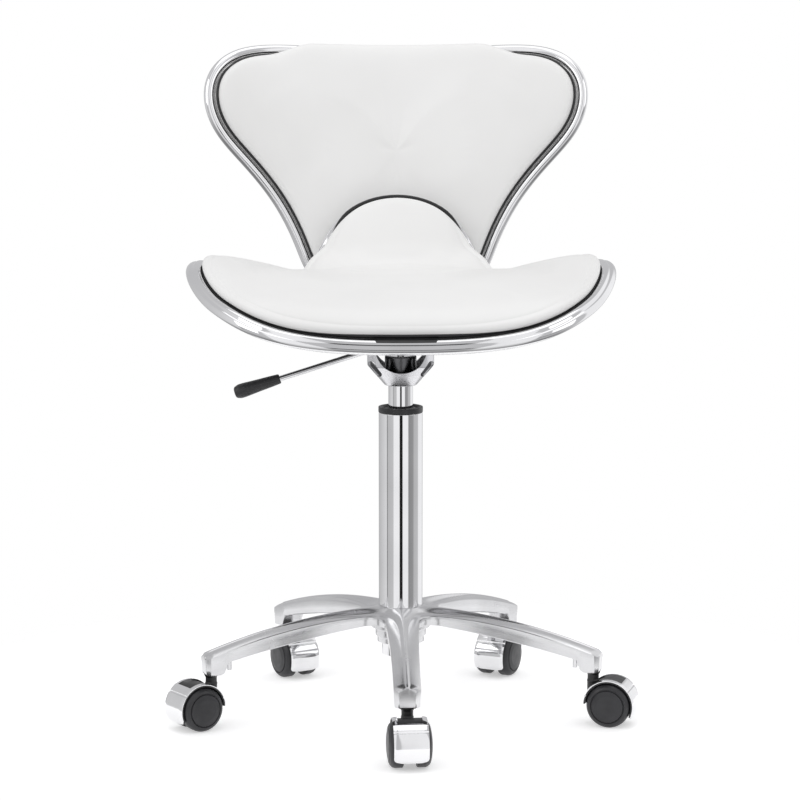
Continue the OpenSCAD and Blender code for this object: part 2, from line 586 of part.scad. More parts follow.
star_base();
column_tube();
column_cap();
guide_bush();
thrust_bearing();
rubber_buffer();
column_clip();
piston_rod();
gas_cylinder();
release_pin();
seat_bracket();
mount_screws();
lever_rod();
lever_grip();
lever_pivot();
seat_shell();
seat_cushion();
seat_piping();
seat_rim();
back_shell();
back_cushion();
back_piping();
back_rim();
back_strap();
back_bolts();
for (i = [0:arm_count - 1]) {
    caster = str("caster_", arm_names[i], "_");
    caster_stem(i);
    caster_hood(i);
    caster_liner(i);
    caster_axle(i);
    caster_wheel(i, 1);
    caster_wheel(i, -1);
}
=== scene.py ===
import json
import math
import bmesh
import bpy
import numpy as np
from mathutils import Matrix, Vector


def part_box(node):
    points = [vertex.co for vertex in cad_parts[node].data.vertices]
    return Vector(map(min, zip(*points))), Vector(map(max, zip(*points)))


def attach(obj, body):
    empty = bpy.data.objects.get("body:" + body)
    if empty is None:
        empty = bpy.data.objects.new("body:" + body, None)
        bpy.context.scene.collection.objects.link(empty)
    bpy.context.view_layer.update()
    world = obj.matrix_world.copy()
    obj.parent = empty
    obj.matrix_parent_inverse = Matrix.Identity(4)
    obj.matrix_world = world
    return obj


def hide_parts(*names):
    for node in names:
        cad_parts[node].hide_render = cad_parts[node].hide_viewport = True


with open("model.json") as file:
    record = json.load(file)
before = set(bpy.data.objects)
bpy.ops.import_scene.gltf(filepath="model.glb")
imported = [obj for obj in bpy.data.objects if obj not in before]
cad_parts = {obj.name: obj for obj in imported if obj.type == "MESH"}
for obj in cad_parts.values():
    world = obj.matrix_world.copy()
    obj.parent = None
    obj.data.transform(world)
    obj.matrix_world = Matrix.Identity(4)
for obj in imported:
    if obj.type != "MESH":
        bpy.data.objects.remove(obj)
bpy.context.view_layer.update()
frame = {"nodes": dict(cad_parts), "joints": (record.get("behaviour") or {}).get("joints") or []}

scene = bpy.context.scene
armNames = ["front", "right", "rear_right", "rear_left", "left"]


# ---- camera, light and floor
view = dict(distance=3.2, height=0.828, pitch=0.145, turn=1.8, focal=127.8, shiftX=-0.0008)
studio = dict(world=1.0, key=16, fill=9, top=12, floorColor=0.9, floorGlow=0.42, floorFull=0.40, floorEnd=0.62)


def addCamera(v):
    camera = bpy.data.objects.new("camera", bpy.data.cameras.new("camera"))
    scene.collection.objects.link(camera)
    camera.data.lens = v["focal"]
    camera.data.sensor_width = 36
    camera.data.shift_x = v["shiftX"]
    turn = Matrix.Rotation(math.radians(-v["turn"]), 4, "Z")   # the stool stands a little turned in the view
    camera.matrix_world = turn @ Matrix.Translation((0, -v["distance"], v["height"])) \
        @ Matrix.Rotation(math.pi / 2 - v["pitch"], 4, "X")
    camera.data.clip_end = 60
    scene.camera = camera


def addArea(name, size, power, place, aim):
    lamp = bpy.data.objects.new(name, bpy.data.lights.new(name, "AREA"))
    scene.collection.objects.link(lamp)
    lamp.data.shape = "RECTANGLE"
    lamp.data.size, lamp.data.size_y = size
    lamp.data.energy = power
    lamp.location = place
    lamp.rotation_euler = (Vector(aim) - Vector(place)).to_track_quat("-Z", "Y").to_euler()


def addWorld(strength):
    world = bpy.data.worlds.new("studio")
    scene.world = world
    world.use_nodes = True
    nodes, links = world.node_tree.nodes, world.node_tree.links
    nodes.clear()
    direction = nodes.new("ShaderNodeTexCoord")
    split = nodes.new("ShaderNodeSeparateXYZ")
    links.new(direction.outputs["Generated"], split.inputs[0])
    flip = nodes.new("ShaderNodeMath"); flip.operation = "MULTIPLY"; flip.inputs[1].default_value = -1
    links.new(split.outputs["Y"], flip.inputs[0])
    turn = nodes.new("ShaderNodeMath"); turn.operation = "ARCTAN2"    # 0 straight in front, half a turn behind
    links.new(split.outputs["X"], turn.inputs[0])
    links.new(flip.outputs[0], turn.inputs[1])
    share = nodes.new("ShaderNodeMapRange")
    share.inputs["From Min"].default_value, share.inputs["From Max"].default_value = -math.pi, math.pi
    links.new(turn.outputs[0], share.inputs["Value"])
    panels = nodes.new("ShaderNodeValToRGB")          # bright panels and dark gaps round the studio
    ramp = panels.color_ramp
    stops = [(0, 0.45), (0.222, 0.72), (0.278, 0.8), (0.283, 0.22), (0.292, 0.22), (0.297, 0.55), (0.386, 0.62),
             (0.394, 1.0), (0.477, 1.0), (0.483, 0.01), (0.521, 0.01), (0.527, 1.0), (0.603, 1.0), (0.614, 0.3),
             (0.683, 0.34), (0.706, 0.55), (0.778, 0.6), (0.794, 1.0), (0.903, 1.0), (0.944, 0.5), (1, 0.45)]
    while len(ramp.elements) < len(stops):
        ramp.elements.new(0.5)
    for element, (where, value) in zip(ramp.elements, stops):
        element.position = where
        element.color = (value, value, value * 1.01, 1)
    links.new(share.outputs[0], panels.inputs[0])
    low = nodes.new("ShaderNodeMapRange")             # the floor side of the room is darker
    low.inputs["From Min"].default_value, low.inputs["From Max"].default_value = -0.7, -0.25
    low.inputs["To Min"].default_value, low.inputs["To Max"].default_value = 0.35, 1
    links.new(split.outputs["Z"], low.inputs["Value"])
    shade = nodes.new("ShaderNodeMix"); shade.data_type = "RGBA"; shade.blend_type = "MULTIPLY"
    shade.inputs[0].default_value = 1
    level = nodes.new("ShaderNodeMath")               # above and below its level the darkest gap is filled
    level.operation = "SUBTRACT"
    level.inputs[1].default_value = -0.175
    apart = nodes.new("ShaderNodeMath")
    apart.operation = "ABSOLUTE"
    filled = nodes.new("ShaderNodeMapRange")
    filled.inputs["From Min"].default_value, filled.inputs["From Max"].default_value = 0.065, 0.09
    fill = nodes.new("ShaderNodeMix")
    fill.data_type = "RGBA"
    fill.blend_type = "LIGHTEN"
    fill.inputs[7].default_value = (0.6, 0.6, 0.61, 1)
    links.new(split.outputs["Z"], level.inputs[0])
    links.new(level.outputs[0], apart.inputs[0])
    links.new(apart.outputs[0], filled.inputs["Value"])
    links.new(filled.outputs[0], fill.inputs[0])
    links.new(panels.outputs[0], fill.inputs[6])
    links.new(fill.outputs[2], shade.inputs[6])
    links.new(low.outputs[0], shade.inputs[7])
    seen = nodes.new("ShaderNodeLightPath")
    plain = nodes.new("ShaderNodeBackground")
    plain.inputs[0].default_value = (1, 1, 1, 1)
    room = nodes.new("ShaderNodeBackground")
    room.inputs[1].default_value = strength
    links.new(shade.outputs[2], room.inputs[0])
    either = nodes.new("ShaderNodeMixShader")
    links.new(seen.outputs["Is Camera Ray"], either.inputs[0])
    links.new(room.outputs[0], either.inputs[1])
    links.new(plain.outputs[0], either.inputs[2])
    out = nodes.new("ShaderNodeOutputWorld")
    links.new(either.outputs[0], out.inputs[0])


def addStudio(s):
    scene.view_settings.view_transform = "Standard"
    addWorld(s["world"])
    addArea("leftPanel", (1.6, 2.2), s["key"], (-2.6, -1.4, 1.8), (0, 0, 0.45))
    addArea("rightPanel", (1.6, 2.2), s["fill"], (2.6, -1.2, 1.6), (0, 0, 0.4))
    addArea("topPanel", (2.4, 2.4), s["top"], (0, 0.2, 3.0), (0, 0, 0))
    rings = [(r * s["floorEnd"] * math.cos(a), r * s["floorEnd"] * math.sin(a), 0)
             for r in (0.5, 1.0) for a in np.arange(64) * math.pi / 32]
    quads = [(k, 64 + k, 64 + (k + 1) % 64, (k + 1) % 64) for k in range(64)]
    floor = makeMesh("floor", rings, quads + [tuple(range(64))], False)
    floor.data.materials.append(makeFloorMaterial(s))


def makeFloorMaterial(s):
    # a pale floor that fades out into the white room
    material, nodes, links, shader = startMaterial("paleFloor", (s["floorColor"],) * 3, 0.9)
    shader.inputs["Emission Color"].default_value = (1, 1, 1, 1)
    shader.inputs["Emission Strength"].default_value = s["floorGlow"]
    where = nodes.new("ShaderNodeTexCoord")
    length = nodes.new("ShaderNodeVectorMath")
    length.operation = "LENGTH"
    fade = nodes.new("ShaderNodeMapRange")
    fade.interpolation_type = "SMOOTHSTEP"
    fade.inputs["From Min"].default_value, fade.inputs["From Max"].default_value = s["floorFull"], s["floorEnd"] - 0.01
    fade.inputs["To Min"].default_value, fade.inputs["To Max"].default_value = 1, 0
    links.new(where.outputs["Object"], length.inputs[0])
    links.new(length.outputs["Value"], fade.inputs["Value"])
    links.new(fade.outputs[0], shader.inputs["Alpha"])
    return material


# ---- meshes
def makeMesh(name, points, faces, smooth=True):
    mesh = bpy.data.meshes.new(name)
    mesh.from_pydata([tuple(p) for p in points], [], [tuple(f) for f in faces])
    mesh.update()
    mesh.polygons.foreach_set("use_smooth", [smooth] * len(mesh.polygons))
    made = bpy.data.objects.new(name, mesh)
    scene.collection.objects.link(made)
    return made


def tidyMesh(piece, sharp=35, merge=1e-6):
    shape = bmesh.new()
    shape.from_mesh(piece.data)
    bmesh.ops.remove_doubles(shape, verts=shape.verts, dist=merge)
    bmesh.ops.recalc_face_normals(shape, faces=shape.faces)
    for edge in shape.edges:
        edge.smooth = not (len(edge.link_faces) == 2 and edge.calc_face_angle(0) > math.radians(sharp))
    shape.to_mesh(piece.data)
    shape.free()
    return piece


def joinMeshes(name, parts):
    shape = bmesh.new()
    for part in parts:
        shape.from_mesh(part.data)
        bpy.data.objects.remove(part)
    mesh = bpy.data.meshes.new(name)
    shape.to_mesh(mesh)
    shape.free()
    made = bpy.data.objects.new(name, mesh)
    scene.collection.objects.link(made)
    return made


def settle(piece):
    bpy.context.view_layer.update()
    whole = bpy.data.meshes.new_from_object(piece.evaluated_get(bpy.context.evaluated_depsgraph_get()))
    piece.modifiers.clear()
    piece.data = whole
    return piece


def turned(name, outline, steps=96, place=Matrix(), closed=False):
    # revolves (radius, height) points about Z; an outline that touches the axis closes itself there
    points, rows = [], []
    for r, z in outline:
        if r < 1e-9:
            rows.append([len(points)] * steps)
            points.append((0, 0, z))
        else:
            rows.append(list(range(len(points), len(points) + steps)))
            points += [(r * math.cos(a), r * math.sin(a), z) for a in np.arange(steps) * 2 * math.pi / steps]
    faces = []
    for a, b in zip(rows, rows[1:] + ([rows[0]] if closed else [])):
        for k in range(steps):
            ring = [a[k], a[(k + 1) % steps], b[(k + 1) % steps], b[k]]
            ring = [p for i, p in enumerate(ring) if p not in ring[:i]]
            if len(ring) > 2:
                faces.append(ring)
    piece = makeMesh(name, points, faces)
    piece.data.transform(place)
    return tidyMesh(piece)


def rounded(outline, radius, steps=4, closed=False):
    # rounds the corners of a (radius, height) outline
    result = []
    last = len(outline) - 1
    for i, p in enumerate(outline):
        if not closed and i in (0, last):
            result.append(tuple(p))
            continue
        p = np.array(p, float)
        a, b = np.array(outline[i - 1], float) - p, np.array(outline[(i + 1) % len(outline)], float) - p
        la, lb = np.linalg.norm(a), np.linalg.norm(b)
        cut = min(radius, 0.45 * la, 0.45 * lb)
        start, end = p + a / la * cut, p + b / lb * cut
        result.append(tuple(p + a / la * 1.1 * cut))      # holds the straight side's shading up to the corner
        for u in np.linspace(0, 1, steps + 1):
            result.append(tuple((1 - u) ** 2 * start + 2 * u * (1 - u) * p + u * u * end))
        result.append(tuple(p + b / lb * 1.1 * cut))
    return result


def loft(name, sections, capped=True, ringClosed=True):
    # joins rows of points that have the same length; each row is a closed loop
    n = len(sections[0])
    points = [p for row in sections for p in row]
    faces = []
    for i in range(len(sections) - 1):
        for k in range(n if ringClosed else n - 1):
            faces.append((i * n + k, i * n + (k + 1) % n, (i + 1) * n + (k + 1) % n, (i + 1) * n + k))
    if capped:
        faces.append(tuple(range(n)))
        faces.append(tuple((len(sections) - 1) * n + k for k in range(n - 1, -1, -1)))
    return tidyMesh(makeMesh(name, points, faces))


def cutFrom(piece, *cutters, join=False):
    for cutter in cutters:
        change = piece.modifiers.new("cut", "BOOLEAN")
        change.operation = "UNION" if join else "DIFFERENCE"
        change.solver = "EXACT"
        change.object = cutter
    settle(piece)
    for cutter in cutters:
        bpy.data.objects.remove(cutter)
    return piece


def block(name, size, place=Matrix()):
    x, y, z = (s / 2 for s in size)
    corners = [(sx * x, sy * y, sz * z) for sx in (-1, 1) for sy in (-1, 1) for sz in (-1, 1)]
    piece = makeMesh(name, corners, [(0, 1, 3, 2), (4, 6, 7, 5), (0, 4, 5, 1), (2, 3, 7, 6), (0, 2, 6, 4), (1, 5, 7, 3)], False)
    piece.data.transform(place)
    return tidyMesh(piece)


def finishPiece(piece, body, slot, material, *nodes):
    piece.data.materials.clear()
    piece.data.materials.append(material)
    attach(piece, body)
    if nodes:
        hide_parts(*nodes)
    return piece


# ---- materials
def startMaterial(name, color, roughness, metallic=0.0, coat=0.0):
    material = bpy.data.materials.new(name)
    material.use_nodes = True
    nodes = material.node_tree.nodes
    shader = nodes["Principled BSDF"]
    shader.inputs["Base Color"].default_value = (*color, 1)
    shader.inputs["Roughness"].default_value = roughness
    shader.inputs["Metallic"].default_value = metallic
    shader.inputs["Coat Weight"].default_value = coat
    return material, nodes, material.node_tree.links, shader


def simpleMaterial(name, color, roughness):
    return startMaterial(name, color, roughness)[0]


def noise(nodes, links, scale, detail=3.0, stretch=(1, 1, 1)):
    where = nodes.new("ShaderNodeTexCoord")
    mapping = nodes.new("ShaderNodeMapping")
    mapping.inputs["Scale"].default_value = stretch
    pattern = nodes.new("ShaderNodeTexNoise")
    pattern.inputs["Scale"].default_value = scale
    pattern.inputs["Detail"].default_value = detail
    links.new(where.outputs["Object"], mapping.inputs[0])
    links.new(mapping.outputs[0], pattern.inputs["Vector"])
    return pattern.outputs["Fac"]


def spread(nodes, links, value, low, high, target):
    change = nodes.new("ShaderNodeMapRange")
    change.inputs["From Min"].default_value, change.inputs["From Max"].default_value = 0.3, 0.7
    change.inputs["To Min"].default_value, change.inputs["To Max"].default_value = low, high
    links.new(value, change.inputs["Value"])
    links.new(change.outputs[0], target)


def tint(nodes, links, value, dark, light, target):
    ramp = nodes.new("ShaderNodeValToRGB")
    ramp.color_ramp.elements[0].position, ramp.color_ramp.elements[1].position = 0.35, 0.65
    ramp.color_ramp.elements[0].color, ramp.color_ramp.elements[1].color = (*dark, 1), (*light, 1)
    links.new(value, ramp.inputs[0])
    links.new(ramp.outputs[0], target)


def relief(nodes, links, value, distance, shader, strength=1.0):
    bump = nodes.new("ShaderNodeBump")
    bump.inputs["Strength"].default_value = strength
    bump.inputs["Distance"].default_value = distance
    links.new(value, bump.inputs["Height"])
    if shader.inputs["Normal"].links:
        links.new(shader.inputs["Normal"].links[0].from_socket, bump.inputs["Normal"])
    links.new(bump.outputs[0], shader.inputs["Normal"])


def makeMetal(name, dark, light, smoothest, roughest, scale, grain=0.0):
    material, nodes, links, shader = startMaterial(name, light, smoothest, 1.0)
    tint(nodes, links, noise(nodes, links, scale * 0.4), dark, light, shader.inputs["Base Color"])
    spread(nodes, links, noise(nodes, links, scale), smoothest, roughest, shader.inputs["Roughness"])
    if grain:
        relief(nodes, links, noise(nodes, links, 900, 2), grain, shader, 0.5)
    return material


def makePlastic(name, dark, light, smoothest, roughest, grain, grainScale=1400, coat=0.0):
    material, nodes, links, shader = startMaterial(name, light, smoothest, 0.0, coat)
    tint(nodes, links, noise(nodes, links, 60), dark, light, shader.inputs["Base Color"])
    spread(nodes, links, noise(nodes, links, 90), smoothest, roughest, shader.inputs["Roughness"])
    relief(nodes, links, noise(nodes, links, grainScale, 2), grain, shader)
    return material


def makeVinyl(name):
    material, nodes, links, shader = startMaterial(name, (0.87, 0.865, 0.855), 0.42, 0.0, 0.08)
    shader.inputs["Coat Roughness"].default_value = 0.3
    tint(nodes, links, noise(nodes, links, 7, 2), (0.85, 0.847, 0.836), (0.88, 0.878, 0.868), shader.inputs["Base Color"])
    spread(nodes, links, noise(nodes, links, 24), 0.38, 0.48, shader.inputs["Roughness"])
    where = nodes.new("ShaderNodeTexCoord")
    cells = nodes.new("ShaderNodeTexVoronoi")         # pebbled grain of upholstery vinyl
    cells.feature = "SMOOTH_F1"
    cells.inputs["Scale"].default_value = 900
    links.new(where.outputs["Object"], cells.inputs["Vector"])
    relief(nodes, links, cells.outputs["Distance"], 0.00012, shader, 0.35)
    relief(nodes, links, noise(nodes, links, 11, 2), 0.0016, shader, 0.25)
    return material


print("materials")
chrome = makeMetal("chrome", (0.78, 0.78, 0.79), (0.84, 0.84, 0.85), 0.035, 0.07, 40)
castMetal = makeMetal("polishedAluminium", (0.64, 0.64, 0.65), (0.73, 0.73, 0.74), 0.2, 0.28, 30, 0.00002)
steel = makeMetal("zincSteel", (0.5, 0.5, 0.49), (0.64, 0.64, 0.63), 0.25, 0.38, 80)
blackSteel = makePlastic("blackPowderCoat", (0.02, 0.02, 0.021), (0.03, 0.03, 0.031), 0.45, 0.6, 0.0001, 700)
vinyl = makeVinyl("whiteVinyl")
pipingBlack = makePlastic("blackPiping", (0.008, 0.008, 0.009), (0.014, 0.014, 0.015), 0.32, 0.42, 0.00003)
coverBlack = makePlastic("undersideCover", (0.02, 0.02, 0.02), (0.032, 0.032, 0.033), 0.6, 0.75, 0.00015, 500)
gripBlack = makePlastic("gripPlastic", (0.016, 0.016, 0.018), (0.026, 0.026, 0.028), 0.34, 0.46, 0.00004)
casterBlack = makePlastic("casterPlastic", (0.008, 0.008, 0.009), (0.016, 0.016, 0.017), 0.35, 0.5, 0.00004)
wheelBlack = makePlastic("wheelPlastic", (0.012, 0.012, 0.014), (0.02, 0.02, 0.023), 0.33, 0.45, 0.00005)
bushGrey = makePlastic("bushPlastic", (0.04, 0.04, 0.04), (0.06, 0.06, 0.06), 0.5, 0.6, 0.00004)
rubber = makePlastic("rubber", (0.014, 0.014, 0.014), (0.022, 0.022, 0.022), 0.6, 0.75, 0.00006)


# ---- node trees
def startTree(name, inputs):
    tree = bpy.data.node_groups.new(name, "GeometryNodeTree")
    tree.interface.new_socket("Geometry", in_out="INPUT", socket_type="NodeSocketGeometry")
    sockets = {label: tree.interface.new_socket(label, in_out="INPUT", socket_type="NodeSocket" + kind)
               for label, kind in inputs.items()}
    tree.interface.new_socket("Geometry", in_out="OUTPUT", socket_type="NodeSocketGeometry")
    return tree, sockets, tree.nodes.new("NodeGroupInput"), tree.nodes.new("NodeGroupOutput")


def endTree(tree, given, made, out):
    real = tree.nodes.new("GeometryNodeRealizeInstances")
    paint = tree.nodes.new("GeometryNodeSetMaterial")
    tree.links.new(made, real.inputs[0])
    tree.links.new(real.outputs[0], paint.inputs["Geometry"])
    tree.links.new(given.outputs["Finish"], paint.inputs["Material"])
    tree.links.new(paint.outputs[0], out.inputs[0])


def edgeTubeTree():
    # a closed loop of edges becomes a round tube
    tree, sockets, given, out = startTree("edgeTube", {"Radius": "Float", "Sides": "Int", "Finish": "Material"})
    path = tree.nodes.new("GeometryNodeMeshToCurve")
    ring = tree.nodes.new("GeometryNodeCurvePrimitiveCircle")
    tube = tree.nodes.new("GeometryNodeCurveToMesh")
    smooth = tree.nodes.new("GeometryNodeSetShadeSmooth")
    tree.links.new(given.outputs["Geometry"], path.inputs["Mesh"])
    tree.links.new(given.outputs["Radius"], ring.inputs["Radius"])
    tree.links.new(given.outputs["Sides"], ring.inputs["Resolution"])
    tree.links.new(path.outputs[0], tube.inputs["Curve"])
    tree.links.new(ring.outputs[0], tube.inputs["Profile Curve"])
    tree.links.new(tube.outputs[0], smooth.inputs["Geometry"])
    endTree(tree, given, smooth.outputs[0], out)
    return tree, sockets


def copiesTree():
    # a modelled piece is repeated at each point of a mesh, all turned the same way
    tree, sockets, given, out = startTree("copiesAtPoints", {"Piece": "Object", "Turn": "Rotation", "Finish": "Material"})
    source = tree.nodes.new("GeometryNodeObjectInfo")
    copies = tree.nodes.new("GeometryNodeInstanceOnPoints")
    tree.links.new(given.outputs["Piece"], source.inputs["Object"])
    tree.links.new(given.outputs["Geometry"], copies.inputs["Points"])
    tree.links.new(source.outputs["Geometry"], copies.inputs["Instance"])
    tree.links.new(given.outputs["Turn"], copies.inputs["Rotation"])
    endTree(tree, given, copies.outputs[0], out)
    return tree, sockets


def runTree(piece, tree, sockets, **values):
    change = piece.modifiers.new("nodes", "NODES")
    change.node_group = tree
    for label, value in values.items():
        change[sockets[label].identifier] = value
    return settle(piece)


def loopMesh(name, points):
    mesh = bpy.data.meshes.new(name)
    n = len(points)
    mesh.from_pydata([tuple(p) for p in points], [(k, (k + 1) % n) for k in range(n)], [])
    made = bpy.data.objects.new(name, mesh)
    scene.collection.objects.link(made)
    return made


edgeTube = edgeTubeTree()
copiesAtPoints = copiesTree()
axisY, axisX, axisZ = Vector((0, 1, 0)), Vector((1, 0, 0)), Vector((0, 0, 1))
joints = {j["name"]: j for j in frame["joints"]}


def low(node):
    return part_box(node)[0]


def high(node):
    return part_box(node)[1]


def along(direction, place=(0, 0, 0)):
    # a matrix that points Z along a direction
    return Matrix.Translation(place) @ Vector(direction).to_track_quat("Z", "Y").to_matrix().to_4x4()


def roundedLoop(width, depth, radius, z=0.0, steps=6):
    loop = []
    for k, (sx, sy) in enumerate([(1, 1), (-1, 1), (-1, -1), (1, -1)]):
        for a in np.linspace(k * 90, k * 90 + 90, steps + 1):
            loop.append((sx * (width / 2 - radius) + radius * math.cos(math.radians(a)),
                         sy * (depth / 2 - radius) + radius * math.sin(math.radians(a)), z))
    return loop


def plate(name, width, depth, radius, bottom, top, edge=0.0006):
    return loft(name, [roundedLoop(width - 2 * d, depth - 2 * d, max(radius - d, 0.0003), z)
                       for d, z in ((edge, bottom), (0, bottom + edge), (0, top - edge), (edge, top))])


# ---- upholstery surfaces
seatSize = dict(frontY=-0.195, flat=0.186, lipRadius=0.16, lipAngle=24, bendRadius=0.08, lean=12, tongue=0.06,
                sideRise=0.024, wingRise=0.062, risePower=2.4, shell=0.009, gap=0.0003)
backSize = dict(gap=0.043, curl=0.052, above=0.177, below=0.114)
edgeSize = dict(rim=0.006, rimDrop=0.003, rimSides=28, piping=0.0022, pipingSides=12, tuck=0.0004)
seatHalf = [(0, 0), (0.31, 0), (0.61, 0.023), (0.82, 0.108), (0.935, 0.235), (1.01, 0.387), (0.975, 0.53),
            (0.78, 0.587), (0.6, 0.615), (0.487, 0.705), (0.41, 0.845), (0.288, 0.98), (0, 1.03)]
backHalf = [(0, -1.1), (0.22, -1.1), (0.44, -1), (0.5, -0.68), (0.615, -0.3), (0.78, 0.012), (0.92, 0.237),
            (0.985, 0.486), (0.97, 0.746), (0.835, 0.96), (0.58, 1), (0.31, 0.98), (0, 0.972)]
leanAngle = math.radians(90 - seatSize["lean"])
lipLength = seatSize["lipRadius"] * math.radians(seatSize["lipAngle"])
bendStart = lipLength + seatSize["flat"]
bendEnd = bendStart + seatSize["bendRadius"] * leanAngle
seatLength = bendEnd + seatSize["tongue"]
seatLevel = high("seat_bracket").z + seatSize["gap"] + seatSize["shell"] / 2
halfSeat = (high("seat_rim").x - low("seat_rim").x) / 2 - edgeSize["rim"]
halfBack = (high("back_rim").x - low("back_rim").x) / 2 - edgeSize["rim"]


def seatProfile(t):
    s = seatSize
    lip = np.clip((lipLength - t) / s["lipRadius"], 0, None)
    bend = np.clip((t - bendStart) / s["bendRadius"], 0, leanAngle)
    straight = np.clip(t - bendEnd, 0, None)
    y = s["frontY"] + s["lipRadius"] * (math.sin(math.radians(s["lipAngle"])) - np.sin(lip)) \
        + np.clip(t - lipLength, 0, s["flat"]) + s["bendRadius"] * np.sin(bend) + straight * math.cos(leanAngle)
    z = seatLevel - s["lipRadius"] * (1 - np.cos(lip)) + s["bendRadius"] * (1 - np.cos(bend)) \
        + straight * math.sin(leanAngle)
    return y, z, lip + bend


def seatSurface(s, t):
    y, z, slope = seatProfile(t)
    share = np.clip(t / (0.6 * seatLength), 0, 1)
    rise = seatSize["sideRise"] + (seatSize["wingRise"] - seatSize["sideRise"]) * share ** 2 * (3 - 2 * share)
    lift = rise * np.abs(s / halfSeat) ** seatSize["risePower"]
    return np.stack([s, y - np.sin(slope) * lift, z + np.cos(slope) * lift], -1)


backForward = np.array([0, -math.sin(leanAngle), math.cos(leanAngle)])
backUp = np.array([0, math.cos(leanAngle), math.sin(leanAngle)])
tongueY, tongueZ = (float(v) for v in seatProfile(np.array(seatLength))[:2])
backBase = np.array([0, tongueY, tongueZ]) - backForward * backSize["gap"]


def backSurface(x, h):
    curl = backSize["curl"] * (x / halfBack) ** 2
    return backBase + x[..., None] * np.array([1, 0, 0]) + h[..., None] * backUp + curl[..., None] * backForward


def onSurface(surface, flat, height):
    s, t, d = flat[..., 0], flat[..., 1], 0.0005
    normal = np.cross(surface(s + d, t) - surface(s - d, t), surface(s, t + d) - surface(s, t - d))
    normal /= np.linalg.norm(normal, axis=-1, keepdims=True)
    return surface(s, t) + normal * (np.ones(s.shape) * height)[..., None]


def splineOutline(half, halfWidth, lowEnd, highEnd, steps=8):
    # a closed cubic B-spline over the mirrored outline, scaled to its width and its two ends
    c = np.array(half + [(-x, y) for x, y in half[-2:0:-1]], float)
    before, after, later = np.roll(c, 1, 0), np.roll(c, -1, 0), np.roll(c, -2, 0)
    rows = [(before * (1 - u) ** 3 + c * (3 * u ** 3 - 6 * u ** 2 + 4) + after * (-3 * u ** 3 + 3 * u ** 2 + 3 * u + 1)
             + later * u ** 3) / 6 for u in np.arange(steps) / steps]
    line = np.stack(rows, 1).reshape(-1, 2)
    line[:, 0] *= halfWidth / line[:, 0].max()
    bottom, top = line[:, 1].min(), line[:, 1].max()
    line[:, 1] = lowEnd + (line[:, 1] - bottom) / (top - bottom) * (highEnd - lowEnd)
    return line


def inset(line, distance):
    way = np.roll(line, -1, 0) - np.roll(line, 1, 0)
    way /= np.linalg.norm(way, axis=1, keepdims=True)
    return line + np.reshape(distance, (-1, 1)) * np.stack([-way[:, 1], way[:, 0]], 1)


def ringMesh(name, surface, centre, rings, top, bottom):
    # a closed form: the middle of its top, loops out over its edge and back in below, the middle of its underside
    centre = np.array(centre, float)
    n = len(rings[0][0])
    points = [onSurface(surface, centre, top)]
    for line, height in rings:
        points.extend(onSurface(surface, line, height))
    points.append(onSurface(surface, centre, bottom))
    last = 1 + (len(rings) - 1) * n
    faces = [(0, 1 + k, 1 + (k + 1) % n) for k in range(n)]
    faces += [(1 + j * n + k, 1 + (j + 1) * n + k, 1 + (j + 1) * n + (k + 1) % n, 1 + j * n + (k + 1) % n)
              for j in range(len(rings) - 1) for k in range(n)]
    faces += [(last + k, last + n, last + (k + 1) % n) for k in range(n)]
    return tidyMesh(makeMesh(name, points, faces))


def ringShares(count):
    # shares of the way out from the middle, closer together towards the edge
    return np.sin(np.linspace(0, math.pi / 2, count + 1))[1:]


def smoothStep(value):
    c = np.clip(value, 0, 1)
    return c * c * (3 - 2 * c)


seatLine = splineOutline(seatHalf, halfSeat, 0, seatLength)
backLine = splineOutline(backHalf, halfBack, -backSize["below"], backSize["above"])
seatCentre, backCentre = (0, 0.446 * seatLength), (0, 0.3 * backSize["above"])
padLow = seatSize["shell"] / 2 + 0.0002
shellInset = edgeSize["rim"] + seatSize["gap"]


# ---- seat and back
padSize = dict(rings=24, edge=0.006, seatCrown=0.034, backCrown=0.026, fullness=3.4, roll=0.7, swell=0.004,
               pressure=4, frames=20)
coverSize = dict(side=0.0075, front=0.004, back=0.003, backTop=0.004, backTopHalf=0.1, backTopFade=0.055,
                 tongueFrom=0.86, tongueFade=0.1, tongueEdge=0.0005, pipingOut=0.0045, rimIn=0.0075,
                 waistFrom=0.5, waistTo=0.86, waistFade=0.08, waistHalf=0.7, waistOut=0.009)
bandSize = dict(long=0.0085, short=0.0054, tilt=49, groove=0.0012, grooveWide=0.2, sides=56)
insertSize = dict(half=0.038, slant=0.006, proud=0.0005, sunk=0.0008, start=-30, end=60)


